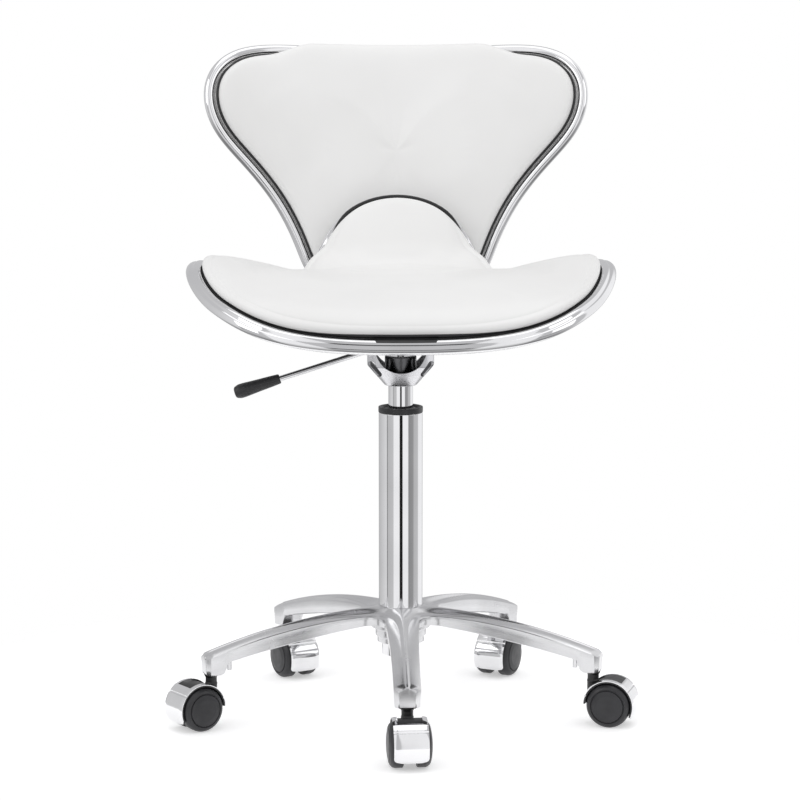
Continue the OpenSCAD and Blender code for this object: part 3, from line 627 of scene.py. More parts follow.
def swellPad(piece, surface, outline, topCount):
    # air pressure rounds the cover over its foam; the sewn edge and the underside stay put
    p = padSize
    start = np.array([v.co for v in piece.data.vertices])
    edge = onSurface(surface, outline, padLow)
    away = np.sqrt(((start[:, None] - edge[None]) ** 2).sum(2)).min(1)
    weight = np.clip((away - 0.012) / 0.03, 0, 1)
    weight[topCount:] = 0
    pins = piece.vertex_groups.new(name="pins")
    for k, w in enumerate(weight):
        pins.add([k], float(1 - w), "REPLACE")
    cloth = piece.modifiers.new("cloth", "CLOTH")
    cloth.settings.vertex_group_mass = "pins"
    cloth.settings.use_pressure = True
    cloth.settings.uniform_pressure_force = p["pressure"]
    cloth.settings.effector_weights.gravity = 0
    cloth.settings.quality = 4
    cloth.point_cache.frame_start = 1
    cloth.point_cache.frame_end = p["frames"]
    for f in range(1, p["frames"] + 1):
        scene.frame_set(f)
    graph = bpy.context.evaluated_depsgraph_get()
    moved = np.array([v.co for v in piece.evaluated_get(graph).data.vertices]) - start
    piece.modifiers.clear()
    scene.frame_set(1)
    length = np.linalg.norm(moved, axis=1, keepdims=True)
    moved *= np.minimum(1, p["swell"] / np.maximum(length, 1e-9)) * weight[:, None]
    print("  swelled by up to", round(float(np.linalg.norm(moved, axis=1).max()) * 1000, 1), "mm")
    piece.data.vertices.foreach_set("co", (start + moved).ravel())
    piece.vertex_groups.clear()
    piece.data.update()
    return piece


def makePad(name, surface, line, centre, crown, overhang):
    # a crowned top whose edge rolls out over the piping and back in to its seam
    p = padSize
    full = 2 * p["edge"]
    centre = np.array(centre)
    rings = []
    for f in ringShares(p["rings"]):
        rings.append((centre + (line - centre) * f, padLow + full + (crown - full) * (1 - f ** p["fullness"]) ** p["roll"]))
    for a in np.radians([60, 30, 0, -30, -60, -90]):
        rings.append((inset(line, -overhang * math.cos(a)), padLow + p["edge"] * (1 + math.sin(a))))
    for f in (0.97, 0.9, 0.75, 0.5, 0.25):
        rings.append((centre + (line - centre) * f, padLow))
    pad = ringMesh(name, surface, centre, rings, padLow + crown, padLow)
    swellPad(pad, surface, line, 1 + p["rings"] * len(line))
    smooth = pad.modifiers.new("smooth", "SUBSURF")
    smooth.levels = 1
    smooth.render_levels = 1
    return settle(pad)


def makeTube(name, surface, outline, height, radius, sides, finish):
    loop = loopMesh(name, onSurface(surface, outline, height))
    return runTree(loop, *edgeTube, Radius=radius, Sides=sides, Finish=finish)


def makeShell(name, surface, line, centre):
    # a board with a soft rounded edge
    half, edge = seatSize["shell"] / 2, 0.0025
    centre = np.array(centre)
    shares = list(ringShares(16))
    rings = [(centre + (line - centre) * f, half) for f in shares[:-1]]
    for a in np.radians(np.linspace(90, -90, 7)):
        rings.append((inset(line, edge * (1 - math.cos(a))), (half - edge) * np.sign(math.sin(a)) + edge * math.sin(a)))
    rings += [(centre + (line - centre) * f, -half) for f in shares[-2::-1]]
    return ringMesh(name, surface, centre, rings, half, -half)


def bandPoint(angle, grow=0.0):
    # the rim's flattened section, outwards and upwards from its middle; 0 is its inner, upper end
    b = bandSize
    tilt = math.radians(b["tilt"])
    groove = b["groove"] * math.exp(-((angle - math.pi / 2) / b["grooveWide"]) ** 2)
    along, across = (b["long"] + grow) * math.cos(angle), (b["short"] + grow - groove) * math.sin(angle)
    return across * math.sin(tilt) - along * math.cos(tilt), across * math.cos(tilt) + along * math.sin(tilt)


def makeBand(name, surface, line, drop):
    rows = []
    for a in np.arange(bandSize["sides"] + 1) * 2 * math.pi / bandSize["sides"]:
        outward, height = bandPoint(a)
        rows.append(onSurface(surface, inset(line, -outward), height - drop))
    return loft(name, rows, False)


def makeFrontInsert(drop):
    # the black insert over the upper half of the rim, at the middle of the seat's front
    c = insertSize
    front = seatLine[(np.abs(seatLine[:, 0]) < 2 * c["half"]) & (seatLine[:, 1] < 0.2 * seatLength)]
    front = front[np.argsort(front[:, 0])]
    angles = np.radians(np.linspace(c["start"], c["end"], 9))
    halves = np.linspace(c["half"], c["half"] - c["slant"], 9)
    sections = []
    for share in np.linspace(-1, 1, 25):
        section = []
        for grow, order in ((c["proud"], 1), (-c["sunk"], -1)):
            for a, half in zip(angles[::order], halves[::order]):
                outward, height = bandPoint(a, grow)
                across = share * half
                place = np.array([across, np.interp(across, front[:, 0], front[:, 1]) - outward])
                section.append(onSurface(seatSurface, place, height - drop))
        sections.append(section)
    return loft("frontInsert", sections)


def overTongue():
    # how far each point of the seat's outline belongs to the top of its tongue, from 0 to 1
    c = coverSize
    return smoothStep((seatLine[:, 1] / seatLength - c["tongueFrom"]) / c["tongueFade"])


def belowTongue():
    # the tongue's outline and the waist before it, where the rim is tucked in under the pad
    c = coverSize
    inside = smoothStep((c["waistHalf"] - np.abs(seatLine[:, 0]) / halfSeat) / 0.15)
    return inside * smoothStep((seatLine[:, 1] / seatLength - c["waistFrom"]) / c["waistFade"])


def roundWaist():
    # how far each point of the seat's outline belongs to the foot of its tongue, where the pad hides the rim
    c = coverSize
    return belowTongue() * smoothStep((c["waistTo"] - seatLine[:, 1] / seatLength) / c["waistFade"])


def seatOverhang():
    c = coverSize
    front = smoothStep((0.6 - np.abs(seatLine[:, 0]) / halfSeat) / 0.5) * (seatLine[:, 1] < 0.3 * seatLength)
    tongue = overTongue()
    return c["side"] + (c["front"] - c["side"]) * front + (c["tongueEdge"] - c["side"]) * tongue


def backSeam():
    # at its top the back's pad reaches over piping and rim
    c = coverSize
    seam = inset(backLine, shellInset + 2 * edgeSize["piping"])
    middle = smoothStep((c["backTopHalf"] + c["backTopFade"] - np.abs(seam[:, 0])) / c["backTopFade"])
    middle *= smoothStep((seam[:, 1] / backSize["above"] - 0.5) / 0.2)
    seam[:, 1] += middle * (backSize["above"] + c["backTop"] - seam[:, 1])
    return seam


def makeUpholstery():
    e, c = edgeSize, coverSize
    tongue, waist = overTongue(), roundWaist()
    tuckIn = c["rimIn"] * belowTongue()
    seam = inset(seatLine, shellInset + 2 * e["piping"] - c["pipingOut"] * tongue - c["waistOut"] * waist)
    pad = makePad("seatPad", seatSurface, seam, seatCentre, padSize["seatCrown"], seatOverhang())
    finishPiece(pad, "seat", "white_vinyl", vinyl, "seat_cushion")
    pad = makePad("backPad", backSurface, backSeam(), backCentre, padSize["backCrown"], c["back"])
    finishPiece(pad, "seat", "white_vinyl", vinyl, "back_cushion")
    board = makeShell("seatBoard", seatSurface, inset(seatLine, shellInset + tuckIn), seatCentre)
    finishPiece(board, "seat", "black_underside", coverBlack, "seat_shell")
    board = makeShell("backBoard", backSurface, inset(backLine, shellInset), backCentre)
    finishPiece(board, "seat", "white_vinyl", vinyl, "back_shell")
    rim = makeBand("seatRim", seatSurface, inset(seatLine, tuckIn), e["rimDrop"])
    finishPiece(rim, "seat", "chrome", chrome, "seat_rim")
    finishPiece(makeFrontInsert(e["rimDrop"]), "seat", "black_piping", pipingBlack)
    rim = makeTube("backRim", backSurface, backLine, 0, e["rim"], e["rimSides"], chrome)
    finishPiece(rim, "seat", "chrome", chrome, "back_rim")
    cordIn = e["rim"] + e["piping"] - e["tuck"]
    for name, surface, line in (("seat", seatSurface, inset(seatLine, cordIn - c["pipingOut"] * tongue)),
                                ("back", backSurface, inset(backLine, cordIn))):
        cord = makeTube(name + "Piping", surface, line, padLow + e["piping"], e["piping"], e["pipingSides"], pipingBlack)
        finishPiece(cord, "seat", "black_piping", pipingBlack, name + "_piping")


# ---- column
def makeColumn():
    outer, top, foot = high("column_tube").x, high("column_tube").z, low("column_tube").z
    hubTop = high("star_base").z - 0.0005
    wall, taper, step, bore = 0.002, outer - 0.0035, foot + 0.015, 0.00405
    line = [(bore, foot), (taper, foot), (taper + 0.00045, step), (outer - 0.00005, hubTop - 0.002),
            (outer, hubTop + 0.0003), (outer, top), (outer - wall, top), (outer - wall, hubTop),
            (taper - wall, step), (taper - wall, foot + 0.003), (bore, foot + 0.003)]
    tube = turned("columnTube", rounded(line, 0.0005, 3, True), 160, closed=True)
    finishPiece(tube, "base", "chrome", chrome, "column_tube")

    capR, capLow, capTop = high("column_cap").x, low("column_cap").z, high("column_cap").z
    rod = high("gas_cylinder").x
    line = [(rod + 0.0006, capLow), (capR, capLow), (capR, capTop), (capR - 0.0026, capTop),
            (capR - 0.0038, capTop - 0.0022), (rod + 0.0032, capTop - 0.0026), (rod + 0.0026, capTop - 0.0014),
            (rod + 0.0006, capTop - 0.0016)]
    finishPiece(turned("columnCap", rounded(line, 0.0007, 4, True), 128, closed=True), "base", "black_plastic",
                gripBlack, "column_cap")

    low1, top1 = low("gas_cylinder").z, high("gas_cylinder").z
    line = [(0, low1), (rod - 0.001, low1), (rod, low1 + 0.0015), (rod, top1 - 0.034), (rod - 0.0008, top1),
            (0.0048, top1), (0.0044, top1 - 0.002), (0.0044, top1 - 0.02), (0, top1 - 0.02)]
    finishPiece(turned("gasCylinder", rounded(line, 0.0004, 3), 128), "seat", "chrome", chrome, "gas_cylinder")


# ---- star base
baseSize = dict(fillet=0.020, filletWidth=0.0197, endWidth=0.015, crown=0.0045, hubDrop=0.003, spineEnd=0.0035,
                spineFade=0.028, collarFade=0.006, channel=0.010, lip=0.0045, endFacet=0.0095, endLength=0.005,
                bevel=0.0011, ribs=5, rib=0.0024)


def makeBase():
    b = baseSize
    inner = high("column_tube").x + 0.0002
    top, floor = high("star_base").z, low("star_base").z
    stem = abs(joints["caster_front_swivel"]["pos_m"][1])
    end = stem + 0.009
    endTop = floor + 0.024
    a36 = math.radians(36)
    reach = (b["filletWidth"] + b["fillet"]) / math.sin(a36)     # place of the fillet's centre between two arms
    fx, fy = reach * math.cos(a36), reach * math.sin(a36)

    ridge = lambda x: top - (top - endTop) * np.clip(x / end, 0, None) ** 2.1
    under = lambda x: ridge(x) - 0.017 - 0.004 * np.sin(np.pi * np.clip((x - 0.04) / (end - 0.04), 0, 1))

    def stepUp(value):
        c = np.clip(value, 0, 1)
        return c * c * (3 - 2 * c)

    def topAt(x, y, share):
        r = np.hypot(x, y)
        width = b["spineEnd"] + (inner - b["spineEnd"]) * np.exp(-(x - inner) / b["spineFade"])
        spine = 0.5 + 0.5 * np.cos(np.pi * np.clip(np.abs(y) / width, 0, 1))
        far = stepUp((x - inner) / 0.15)
        shape = (1 - far) * spine + far * (0.75 * (1 - share ** 2) + 0.25 * spine)
        collar = np.exp(-(r - inner) / b["collarFade"])
        drop = b["crown"] + b["hubDrop"] * np.exp(-(x - inner) / 0.05)
        return ridge(x) - drop * (1 - shape) * (1 - collar)

    # rows along one arm, each with its place along X and a half width for a given inset of the edge
    rows = []
    for a in np.radians(np.linspace(36, 90, 10)):
        rows.append(lambda d, a=a: (fx - (b["fillet"] + d) * math.cos(a), fy - (b["fillet"] + d) * math.sin(a)))
    for x in np.linspace(fx, end - b["endLength"], 44)[1:]:
        half = b["endWidth"] + (b["filletWidth"] - b["endWidth"]) * ((end - x) / (end - fx)) ** 2.2
        rows.append(lambda d, x=x, half=half: (x, half - d))
    rows.append(lambda d: (end - 0.0006 - d * 0.4, b["endFacet"] + 0.0012 - d))
    rows.append(lambda d: (end - d, b["endFacet"] - d))
    shares = np.sign(np.linspace(-1, 1, 37)) * np.abs(np.linspace(-1, 1, 37)) ** 1.25
    faces, points = [], []

    def patch(grid):
        # a grid of points becomes a sheet of faces
        grid = np.array(grid)
        first = len(points)
        count, across = grid.shape[:2]
        points.extend(map(tuple, grid.reshape(-1, 3)))
        for i in range(count - 1):
            for k in range(across - 1):
                p = first + i * across + k
                faces.append((p, p + across, p + across + 1, p + 1))

    bevel = b["bevel"]
    cornerX, cornerY = rows[0](bevel)
    sheet = []
    for t in np.linspace(0, 1, 9)[:-1] ** 1.4:
        ang = shares * a36
        x = (1 - t) * inner * np.cos(ang) + t * cornerX
        y = (1 - t) * inner * np.sin(ang) + t * cornerY * shares
        sheet.append(np.stack([x, y, topAt(x, y, shares)], 1))
    for row in rows:
        x, half = row(bevel)
        xs = np.full(len(shares), x)
        lift = stepUp((x - end + 0.004) / 0.004) * 0.001          # the end's upper edge is eased
        sheet.append(np.stack([xs, half * shares, topAt(xs, half * shares, shares) - lift], 1))
    patch(sheet)

    def lowAt(x):
        return under(x) + (floor - under(x)) * stepUp((x - (stem - 0.016)) / 0.005)

    edgeTops = [(row, sheet[len(sheet) - len(rows) + i][-1][2]) for i, row in enumerate(rows)]
    for side in (-1, 1):
        wall = []
        for row, z in edgeTops:
            steps = [(bevel, z), (0.0002, z - bevel * 0.6), (0, z - bevel * 1.6)]
            x0 = row(0)[0]
            bottom = lowAt(x0)
            steps += [(0.0007, 0.4 * z + 0.6 * bottom), (0.001, bottom + 0.001), (0.0018, bottom)]
            wall.append([(row(d)[0], side * row(d)[1], h) for d, h in steps])
        patch(wall if side > 0 else [w[::-1] for w in wall])
    # the end wall
    row, z = edgeTops[-1]
    wall = []
    for d, h in [(bevel, None), (0.0002, 0.0007), (0, 0.0018)]:
        line = sheet[-1].copy()
        if h is not None:
            line[:, 0], line[:, 1] = row(d)[0], shares * row(d)[1]
            line[:, 2] -= h
        wall.append(line)
    for d, h in [(0.001, floor + 0.001), (0.0018, floor)]:
        wall.append(np.stack([np.full(len(shares), row(d)[0]), shares * row(d)[1], np.full(len(shares), h)], 1))
    patch(wall)

    # underside with a channel
    channelStart, channelEnd = fx + 0.012, stem - 0.024

    def bottomRow(x, half, deep):
        lip = b["lip"] if deep > 0 else 0.2 * half
        ys = np.array([-half, -half + lip, -half + lip * 1.25, -half * 0.4, 0, half * 0.4, half - lip * 1.25, half - lip, half])
        zs = np.array([0, 0, 0.92, 1, 1, 1, 0.92, 0, 0]) * deep + lowAt(x)
        return np.stack([np.full(9, x), ys, zs], 1)

    bottoms = []
    spread9 = np.array([-1, -0.8, -0.75, -0.4, 0, 0.4, 0.75, 0.8, 1])
    edgeX, edgeY = rows[0](0.0018)
    for t in np.linspace(0, 1, 5)[:-1]:
        x = (1 - t) * inner * np.cos(spread9 * a36) + t * edgeX
        y = (1 - t) * inner * np.sin(spread9 * a36) + t * edgeY * spread9
        bottoms.append(np.stack([x, y, lowAt(x) * t + (1 - t) * lowAt(np.full(9, edgeX))], 1))
    for row in rows:
        x, half = row(0.0018)
        deep = b["channel"] * stepUp((x - channelStart) / 0.012) * stepUp((channelEnd - x) / 0.006)
        bottoms.append(bottomRow(x, half, deep))
    patch(bottoms)
    arm = makeMesh("arm", points, faces)
    tidyMesh(arm, 30, 1e-5)

    # ribs across the channel
    spots = [(x, 0, 0) for x in np.linspace(channelStart + 0.016, channelEnd - 0.014, b["ribs"])]
    ribs = []
    for x, _, _ in spots:
        bottom = float(lowAt(x))
        ribs.append(plate("rib", b["rib"], 2 * b["filletWidth"] - 0.012, 0.0008, 0, b["channel"] + 0.001, 0.0004))
        ribs[-1].data.transform(Matrix.Translation((x, 0, bottom + 0.0012)))
    lug = plate("lug", 0.005, 0.011, 0.001, floor + 0.003, floor + 0.016)
    lug.data.transform(Matrix.Translation((stem - 0.0205, 0, 0)))
    wholeArm = joinMeshes("wholeArm", [arm, lug] + ribs)
    arms = []
    for k in range(len(armNames)):
        copy = bpy.data.objects.new("arm", wholeArm.data.copy())
        copy.data.transform(Matrix.Rotation(math.radians(270 + 72 * k), 4, "Z"))
        arms.append(copy)
    bpy.data.objects.remove(wholeArm)
    foot = low("column_tube").z + 0.015
    boss = turned("boss", rounded([(0.0224, foot), (0.027, foot), (0.027, foot + 0.0065), (0.0292, foot + 0.0075),
                                   (0.0292, foot + 0.0155), (0.0335, foot + 0.017), (0.0335, foot + 0.030),
                                   (0.0256, foot + 0.030)], 0.0008, 3, True), 120, closed=True)
    base = joinMeshes("starBase", arms + [boss])
    tidyMesh(base, 32, 2e-5)
    # close the bore between the top and the underside
    shape = bmesh.new()
    shape.from_mesh(base.data)
    loose = [e for e in shape.edges if e.is_boundary]
    print("  open edges before closing the bore:", len(loose))
    bmesh.ops.bridge_loops(shape, edges=[e for e in loose if max(math.hypot(*v.co.xy) for v in e.verts) < inner + 0.0005])
    bmesh.ops.recalc_face_normals(shape, faces=shape.faces)
    print("  open edges after:", len([e for e in shape.edges if e.is_boundary]))
    shape.to_mesh(base.data)
    shape.free()
    finishPiece(base, "base", "polished_aluminium", castMetal, "star_base")


# ---- bracket, screws and lever
bracketSize = dict(footWall=0.004, bowl=0.038, wall=0.004, taper=0.023, window=0.0303, windowRise=0.047,
                   plate=0.004, corner=0.014, slot=0.0036, slotLong=0.014, slotTurn=54, slotOut=0.0295, slotRise=0.020)
leverSize = dict(slope=17.5, rod=0.0032, eye=0.0056, eyeHalf=0.005, foot=0.005, grip=0.054)


def makeBracketPaintedShadeMetal(foot):
    # polished metal outside; inside the bowl the colour is painted dark, painted shade where shade falls in the recess
    s = bracketSize
    material, nodes, links, shader = startMaterial("castBracketPaintedShade", (0.7, 0.7, 0.72), 0.25, 1.0)
    where = nodes.new("ShaderNodeTexCoord")
    split = nodes.new("ShaderNodeSeparateXYZ")
    flat = nodes.new("ShaderNodeVectorMath")
    flat.operation = "MULTIPLY"
    flat.inputs[1].default_value = (1, 1, 0)
    radius = nodes.new("ShaderNodeVectorMath")
    radius.operation = "LENGTH"
    outside = nodes.new("ShaderNodeMapRange")            # the outer radius at each height
    outside.inputs["From Min"].default_value, outside.inputs["From Max"].default_value = foot, foot + s["taper"]
    outside.inputs["To Min"].default_value = high("gas_cylinder").x + s["footWall"]
    outside.inputs["To Max"].default_value = s["bowl"]
    depth = nodes.new("ShaderNodeMath")
    depth.operation = "SUBTRACT"
    shade = nodes.new("ShaderNodeValToRGB")
    share = nodes.new("ShaderNodeMapRange")
    share.inputs["From Min"].default_value, share.inputs["From Max"].default_value = 0.0018, 0.0030
    # painted shade: the dark stop colours the bowl's inside to stand for its shadow
    shade.color_ramp.elements[0].color = (0.72, 0.72, 0.74, 1)
    shade.color_ramp.elements[1].color = (0.13, 0.13, 0.135, 1)
    links.new(where.outputs["Object"], split.inputs[0])
    links.new(where.outputs["Object"], flat.inputs[0])
    links.new(flat.outputs[0], radius.inputs[0])
    links.new(split.outputs["Z"], outside.inputs["Value"])
    links.new(outside.outputs[0], depth.inputs[0])
    links.new(radius.outputs["Value"], depth.inputs[1])
    links.new(depth.outputs[0], share.inputs["Value"])
    links.new(share.outputs[0], shade.inputs[0])
    links.new(shade.outputs[0], shader.inputs["Base Color"])
    spread(nodes, links, noise(nodes, links, 60), 0.2, 0.32, shader.inputs["Roughness"])
    relief(nodes, links, noise(nodes, links, 900, 2), 0.00005, shader, 0.5)
    return material


def makeBracket():
    s = bracketSize
    foot, top = low("seat_bracket").z, high("seat_bracket").z
    plateLow = top - s["plate"]
    cylinder = high("gas_cylinder").x
    sleeveTop = high("gas_cylinder").z
    footR, bowl, wall = cylinder + s["footWall"], s["bowl"], s["wall"]
    rise = foot + s["taper"]
    line = [(cylinder + 0.00002, foot), (footR, foot), (bowl, rise), (bowl, plateLow + 0.0005),
            (bowl - wall, plateLow + 0.0005), (bowl - wall, rise + 0.003), (footR + 0.004, foot + 0.014),
            (footR, foot + 0.014), (footR, sleeveTop), (cylinder - 0.0008, sleeveTop)]
    body = turned("bracketBody", rounded(line, 0.0016, 4, True), 144, closed=True)
    cutters = []
    for side in (-1, 1):
        hole = turned("window", [(0, 0), (s["window"], 0), (s["window"], 0.04), (0, 0.04)], 96,
                      along((0, side, 0), (0, side * footR * 1.02, foot + s["windowRise"])))
        cutters.append(hole)
        for sx in (-1, 1):
            slot = plate("slot", s["slotLong"] + 2 * s["slot"], 2 * s["slot"], s["slot"], 0, 0.04)
            slot.data.transform(Matrix.Translation((sx * s["slotOut"], side * 0.008, foot + s["slotRise"]))
                                @ Matrix.Rotation(math.radians(-sx * s["slotTurn"]), 4, "Y")
                                @ Matrix.Rotation(-side * math.pi / 2, 4, "X"))
            cutters.append(slot)
    cutFrom(body, *cutters)
    tidyMesh(body, 30)
    size = high("seat_bracket").x - low("seat_bracket").x
    flange = plate("flange", size, size, s["corner"], plateLow, top, 0.0008)
    pivot = joints["lever_pull"]["pos_m"]
    ears = []
    for side in (-1, 1):
        ear = plate("ear", 0.012, 0.003, 0.001, pivot[2] - 0.006, plateLow + 0.001, 0.0004)
        ear.data.transform(Matrix.Translation((pivot[0], side * 0.0068, 0)))
        ears.append(ear)
    # the bracket's material paints shade into the inside of its bowl
    finishPiece(joinMeshes("seatBracket", [body, flange] + ears), "seat", "zinc_steel", makeBracketPaintedShadeMetal(foot),
                "seat_bracket")


def makeScrewHead(radius, height):
    # a button head with a six-sided socket; its shank side is at Z = 0 and it points to -Z
    head = turned("screwHead", [(0, 0)] + [(radius, 0)] + [(radius * math.cos(a) ** 0.7, -height * (0.25 + 0.75 * math.sin(a)))
                                           for a in np.linspace(0, 1.25, 8)] + [(0, -height)], 40)
    socket = turned("socket", [(0, -height * 0.45), (radius * 0.42, -height * 0.45), (radius * 0.42, -height * 1.4),
                               (0, -height * 1.4)], 6)
    return cutFrom(head, socket)


def screwsAt(name, points, direction, radius, height):
    head = makeScrewHead(radius, height)
    shank = turned("shank", [(0, 0.008), (0.003, 0.008), (0.003, -0.0002), (0, -0.0002)], 24)
    screw = joinMeshes("screw", [head, shank])
    turn = (-Vector(direction)).to_track_quat("Z", "Y").to_euler()
    mesh = bpy.data.meshes.new(name)
    mesh.from_pydata([tuple(p) for p in points], [], [])
    piece = bpy.data.objects.new(name, mesh)
    scene.collection.objects.link(piece)
    runTree(piece, *copiesAtPoints, Piece=screw, Turn=turn, Finish=steel)
    bpy.data.objects.remove(screw)
    return tidyMesh(piece, 30)


def makeFasteners():
    head = 0.0055
    top = high("seat_bracket").z
    plateLow = top - bracketSize["plate"]
    strapLow = low("back_strap").z
    pitch = high("mount_screws").x - head
    plateSpots = [(x * pitch, y * pitch, plateLow) for x in (-1, 1) for y in (-1, 1)]
    strapSpots = [(x, low("back_strap").y + 0.010, strapLow) for x in (-0.020, 0.020)]
    screws = joinMeshes("mountScrews", [screwsAt("plateScrews", plateSpots, (0, 0, -1), head, 0.0034),
                                        screwsAt("strapScrews", strapSpots, (0, 0, -1), head, 0.0034)])
    finishPiece(screws, "seat", "zinc_steel", steel, "mount_screws")
    strapFace = seatSize["shell"] / 2 + 0.004 + 0.004
    spots = [backBase + np.array([x, 0, 0]) + backUp * h - backForward * strapFace
             for x in (-0.018, 0.018) for h in (-0.070, 0.020)]
    bolts = screwsAt("backBolts", spots, -backForward, head, 0.003)
    finishPiece(bolts, "seat", "zinc_steel", steel, "back_bolts")


def makeStrap():
    thick, width, bend, gap = 0.004, high("back_strap").x - low("back_strap").x, 0.010, 0.004
    bottom, front = low("back_strap").z, low("back_strap").y
    face = backBase - backForward * (seatSize["shell"] / 2 + gap + thick / 2)     # a point on the rising leg's middle
    lean = math.radians(seatSize["lean"])
    middle = bottom + thick / 2
    cornerY = face[1] - (face[2] - middle) * math.tan(lean)
    radius = bend + thick / 2
    tangent = radius * math.tan(leanAngle / 2)
    path = [(front, middle, 0.0)]
    for a in np.linspace(0, leanAngle, 13):
        path.append((cornerY - tangent + radius * math.sin(a), middle + radius * (1 - math.cos(a)), a))
    rise = (high("back_strap").z - path[-1][1]) / math.cos(lean) - 0.001
    path.append((path[-1][0] + rise * math.cos(leanAngle), path[-1][1] + rise * math.sin(leanAngle), leanAngle))
    sections = []
    for y, z, a in path:
        loop = roundedLoop(width, thick, 0.0012, steps=3)
        sections.append([(px, y - math.sin(a) * pz, z + math.cos(a) * pz) for px, pz, _ in loop])
    finishPiece(loft("backStrap", sections), "seat", "black_steel", blackSteel, "back_strap")


def makeLever():
    s = leverSize
    pivot = Vector(joints["lever_pull"]["pos_m"])
    slope = math.radians(s["slope"])
    way = Vector((-math.cos(slope), 0, -math.sin(slope)))
    grip = low("lever_grip")
    outer = pivot + way * ((grip.x - pivot.x) / way.x)
    start = outer - way * s["grip"]
    inner = pivot - way * 0.026
    length = (start - inner).length + 0.02
    rod = turned("rod", rounded([(0, 0), (s["rod"], 0), (s["rod"], length), (0, length)], 0.0006, 3), 40,
                 along(way, inner))
    eye = turned("eye", rounded([(0, -s["eyeHalf"]), (s["eye"], -s["eyeHalf"]), (s["eye"], s["eyeHalf"]), (0, s["eyeHalf"])],
                                0.0006, 3), 48, along((0, 1, 0), pivot))
    pinTop = high("release_pin").z
    foot = plate("foot", 2 * s["foot"], 0.008, 0.001, pinTop + 0.0003, pinTop + 0.0063)
    finishPiece(joinMeshes("leverRod", [rod, eye, foot]), "lever", "chrome", chrome, "lever_rod")
    long = s["grip"]
    line = [(0, 0), (0.0050, 0), (0.0056, 0.0012), (0.0062, 0.010), (0.0072, 0.028), (0.0082, long - 0.011),
            (0.0081, long - 0.006), (0.0064, long - 0.0012), (0.0040, long), (0, long)]
    handle = turned("leverGrip", rounded(line, 0.0012, 4), 64, along(way, start))
    finishPiece(handle, "lever", "black_plastic", gripBlack, "lever_grip")


# ---- casters
casterSize = dict(wall=0.0015, width=0.0378, lowEnd=-29, highEnd=180, corner=0.006, grooves=(39, 158), grooveWide=0.0011,
                  grooveDeep=0.0010, window=(61, 148), windowHalf=0.0135, boss=0.0067)


def ringSector(radiusOut, radiusIn, startAngle, endAngle, steps, y):
    out = [(radiusOut * math.cos(a), y, radiusOut * math.sin(a)) for a in np.radians(np.linspace(startAngle, endAngle, steps))]
    back = [(radiusIn * math.cos(a), y, radiusIn * math.sin(a)) for a in np.radians(np.linspace(endAngle, startAngle, steps))]
    return out + back


def makeHood(radiusIn):
    # a band bent round the wheels, about the axle; 0 degrees is the trailing side
    c = casterSize
    radiusOut = radiusIn + c["wall"]
    ends = math.degrees(c["corner"] / radiusOut)
    angles = np.concatenate([np.linspace(c["lowEnd"], c["lowEnd"] + ends, 8),
                             np.linspace(c["lowEnd"] + ends, c["highEnd"] - ends, 60),
                             np.linspace(c["highEnd"] - ends, c["highEnd"], 8)]
                            + [np.linspace(g - 4, g + 4, 17) for g in c["grooves"]])
    angles = np.unique(np.round(angles, 3))
    sections = []
    for a in angles:
        fromEnd = math.radians(min(a - c["lowEnd"], c["highEnd"] - a)) * radiusOut
        half = c["width"] / 2 - c["corner"] + math.sqrt(max(0, c["corner"] ** 2 - max(0, c["corner"] - fromEnd) ** 2))
        offset = min(abs(math.radians(a - g)) for g in c["grooves"]) * radiusOut
        dent = c["grooveDeep"] * math.exp(-(offset / c["grooveWide"]) ** 4)
        bead = 0.0004 * math.exp(-((a - c["window"][0] + 3) / 3) ** 2)
        loop = []
        for v in np.linspace(-1, 1, 15):
            roll = 0.0007 * abs(v) ** 14
            loop.append((v * half, radiusOut - dent + bead - roll))
        loop += [(v * (half - 0.0002), radiusIn - 0.6 * dent) for v in np.linspace(1, -1, 7)]
        t = math.radians(a)
        sections.append([(r * math.cos(t), y, r * math.sin(t)) for y, r in loop])
    band = loft("hood", sections)
    cutter = loft("hoodWindow", [ringSector(radiusOut + 0.003, radiusIn - 0.003, *c["window"], 30, y)
                                 for y in (-c["windowHalf"], c["windowHalf"])])
    return tidyMesh(cutFrom(band, cutter), 30)


def makeWheel(radius, thick, bore):
    line = [(bore, 0), (0.008, 0), (0.0088, 0.0016), (0.0185, 0.0016), (0.0195, 0.0), (radius - 0.001, 0),
            (radius, 0.001), (radius, 0.55 * thick), (radius - 0.0009, 0.70 * thick), (radius - 0.0028, 0.83 * thick),
            (radius - 0.0055, 0.905 * thick), (radius - 0.0060, 0.84 * thick), (radius - 0.0067, 0.84 * thick),
            (radius - 0.0072, 0.925 * thick), (radius * 0.5, 0.985 * thick), (0.005, thick), (0, thick),
            (0, thick - 0.0015), (bore, thick - 0.0015)]
    return turned("wheel", rounded(line, 0.0004, 3, True), 96, closed=True)


def makeStem(axleZ, seatZ):
    # the grip stem in the arm, its flange and the black collar below
    collarLow, collarTop = axleZ + 0.0229, seatZ - 0.0022
    line = [(0, axleZ + 0.005), (0.004, axleZ + 0.005), (0.004, collarLow), (0.0068, collarLow),
            (0.0070, collarLow + 0.002), (0.0064, collarLow + 0.0035), (0.0064, collarTop - 0.0015),
            (0.0075, collarTop), (0.0081, seatZ - 0.0002), (0.0055, seatZ - 0.0001), (0.0055, seatZ + 0.017),
            (0.0045, seatZ + 0.018), (0, seatZ + 0.018)]
    return turned("stem", rounded(line, 0.0004, 3), 64)


def placedCopy(source, name, place):
    piece = bpy.data.objects.new(name, source.data.copy())
    scene.collection.objects.link(piece)
    piece.data.transform(place)
    return piece


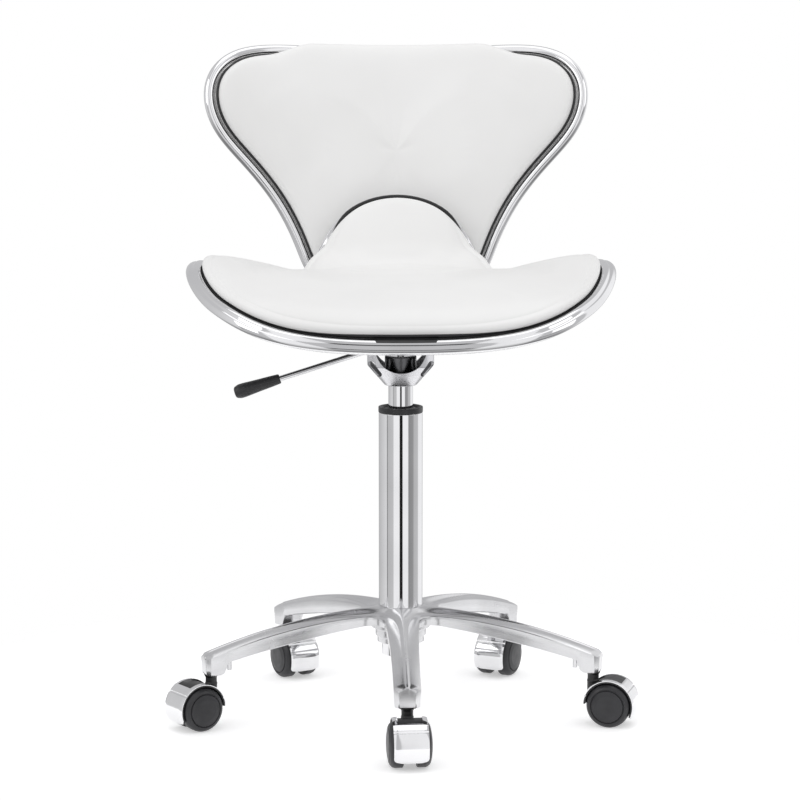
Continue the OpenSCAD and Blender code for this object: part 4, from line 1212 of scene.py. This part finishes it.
def makeCasters():
    axle = joints["caster_front_spin_a"]["pos_m"]
    wheelNode = "caster_front_wheel_a"
    radius = (high(wheelNode).z - low(wheelNode).z) / 2
    outerWidth, gap = 0.0485, 0.0148
    hood = makeHood(radius + 0.003)
    wheel = makeWheel(radius, (outerWidth - gap) / 2, 0.00305)
    stem = makeStem(axle[2], low("star_base").z)
    for arm in armNames:
        caster = "caster_" + arm
        pin = Vector(joints[caster + "_swivel"]["pos_m"])
        hub = Vector(joints[caster + "_spin_a"]["pos_m"])
        toward = math.atan2(hub.y - pin.y, hub.x - pin.x)
        turn = Matrix.Rotation(toward, 4, "Z")
        finishPiece(placedCopy(stem, caster + "Stem", Matrix.Translation((pin.x, pin.y, 0)) @ turn), "base",
                    "caster_plastic", casterBlack, caster + "_stem")
        finishPiece(placedCopy(hood, caster + "Hood", Matrix.Translation(hub) @ turn), caster, "chrome", chrome,
                    caster + "_hood")
        for side, letter in ((1, "a"), (-1, "b")):
            face = Matrix.Translation(hub) @ turn @ Matrix.Rotation(-side * math.pi / 2, 4, "X") \
                @ Matrix.Translation((0, 0, gap / 2))
            finishPiece(placedCopy(wheel, caster + "Wheel" + letter.upper(), face), caster + "_wheel_" + letter,
                        "wheel_plastic", wheelBlack, caster + "_wheel_" + letter)
    for source in (hood, wheel, stem):
        bpy.data.objects.remove(source)


# ---- the pieces that keep their own shape
def finishKept():
    kept = {"guide_bush": bushGrey, "thrust_bearing": steel, "rubber_buffer": rubber, "column_clip": steel,
            "piston_rod": chrome, "release_pin": steel, "lever_pivot": steel}
    for arm in armNames:
        kept["caster_" + arm + "_liner"] = casterBlack
        kept["caster_" + arm + "_axle"] = steel
    for node, material in kept.items():
        piece = frame["nodes"][node]
        for slot in piece.material_slots:
            slot.material = material


print("studio")
addCamera(view)
addStudio(studio)
print("seat and back")
makeUpholstery()
print("column")
makeColumn()
print("star base")
makeBase()
print("bracket, strap and lever")
makeBracket()
makeStrap()
makeFasteners()
makeLever()
print("casters")
makeCasters()
finishKept()
bpy.context.view_layer.update()
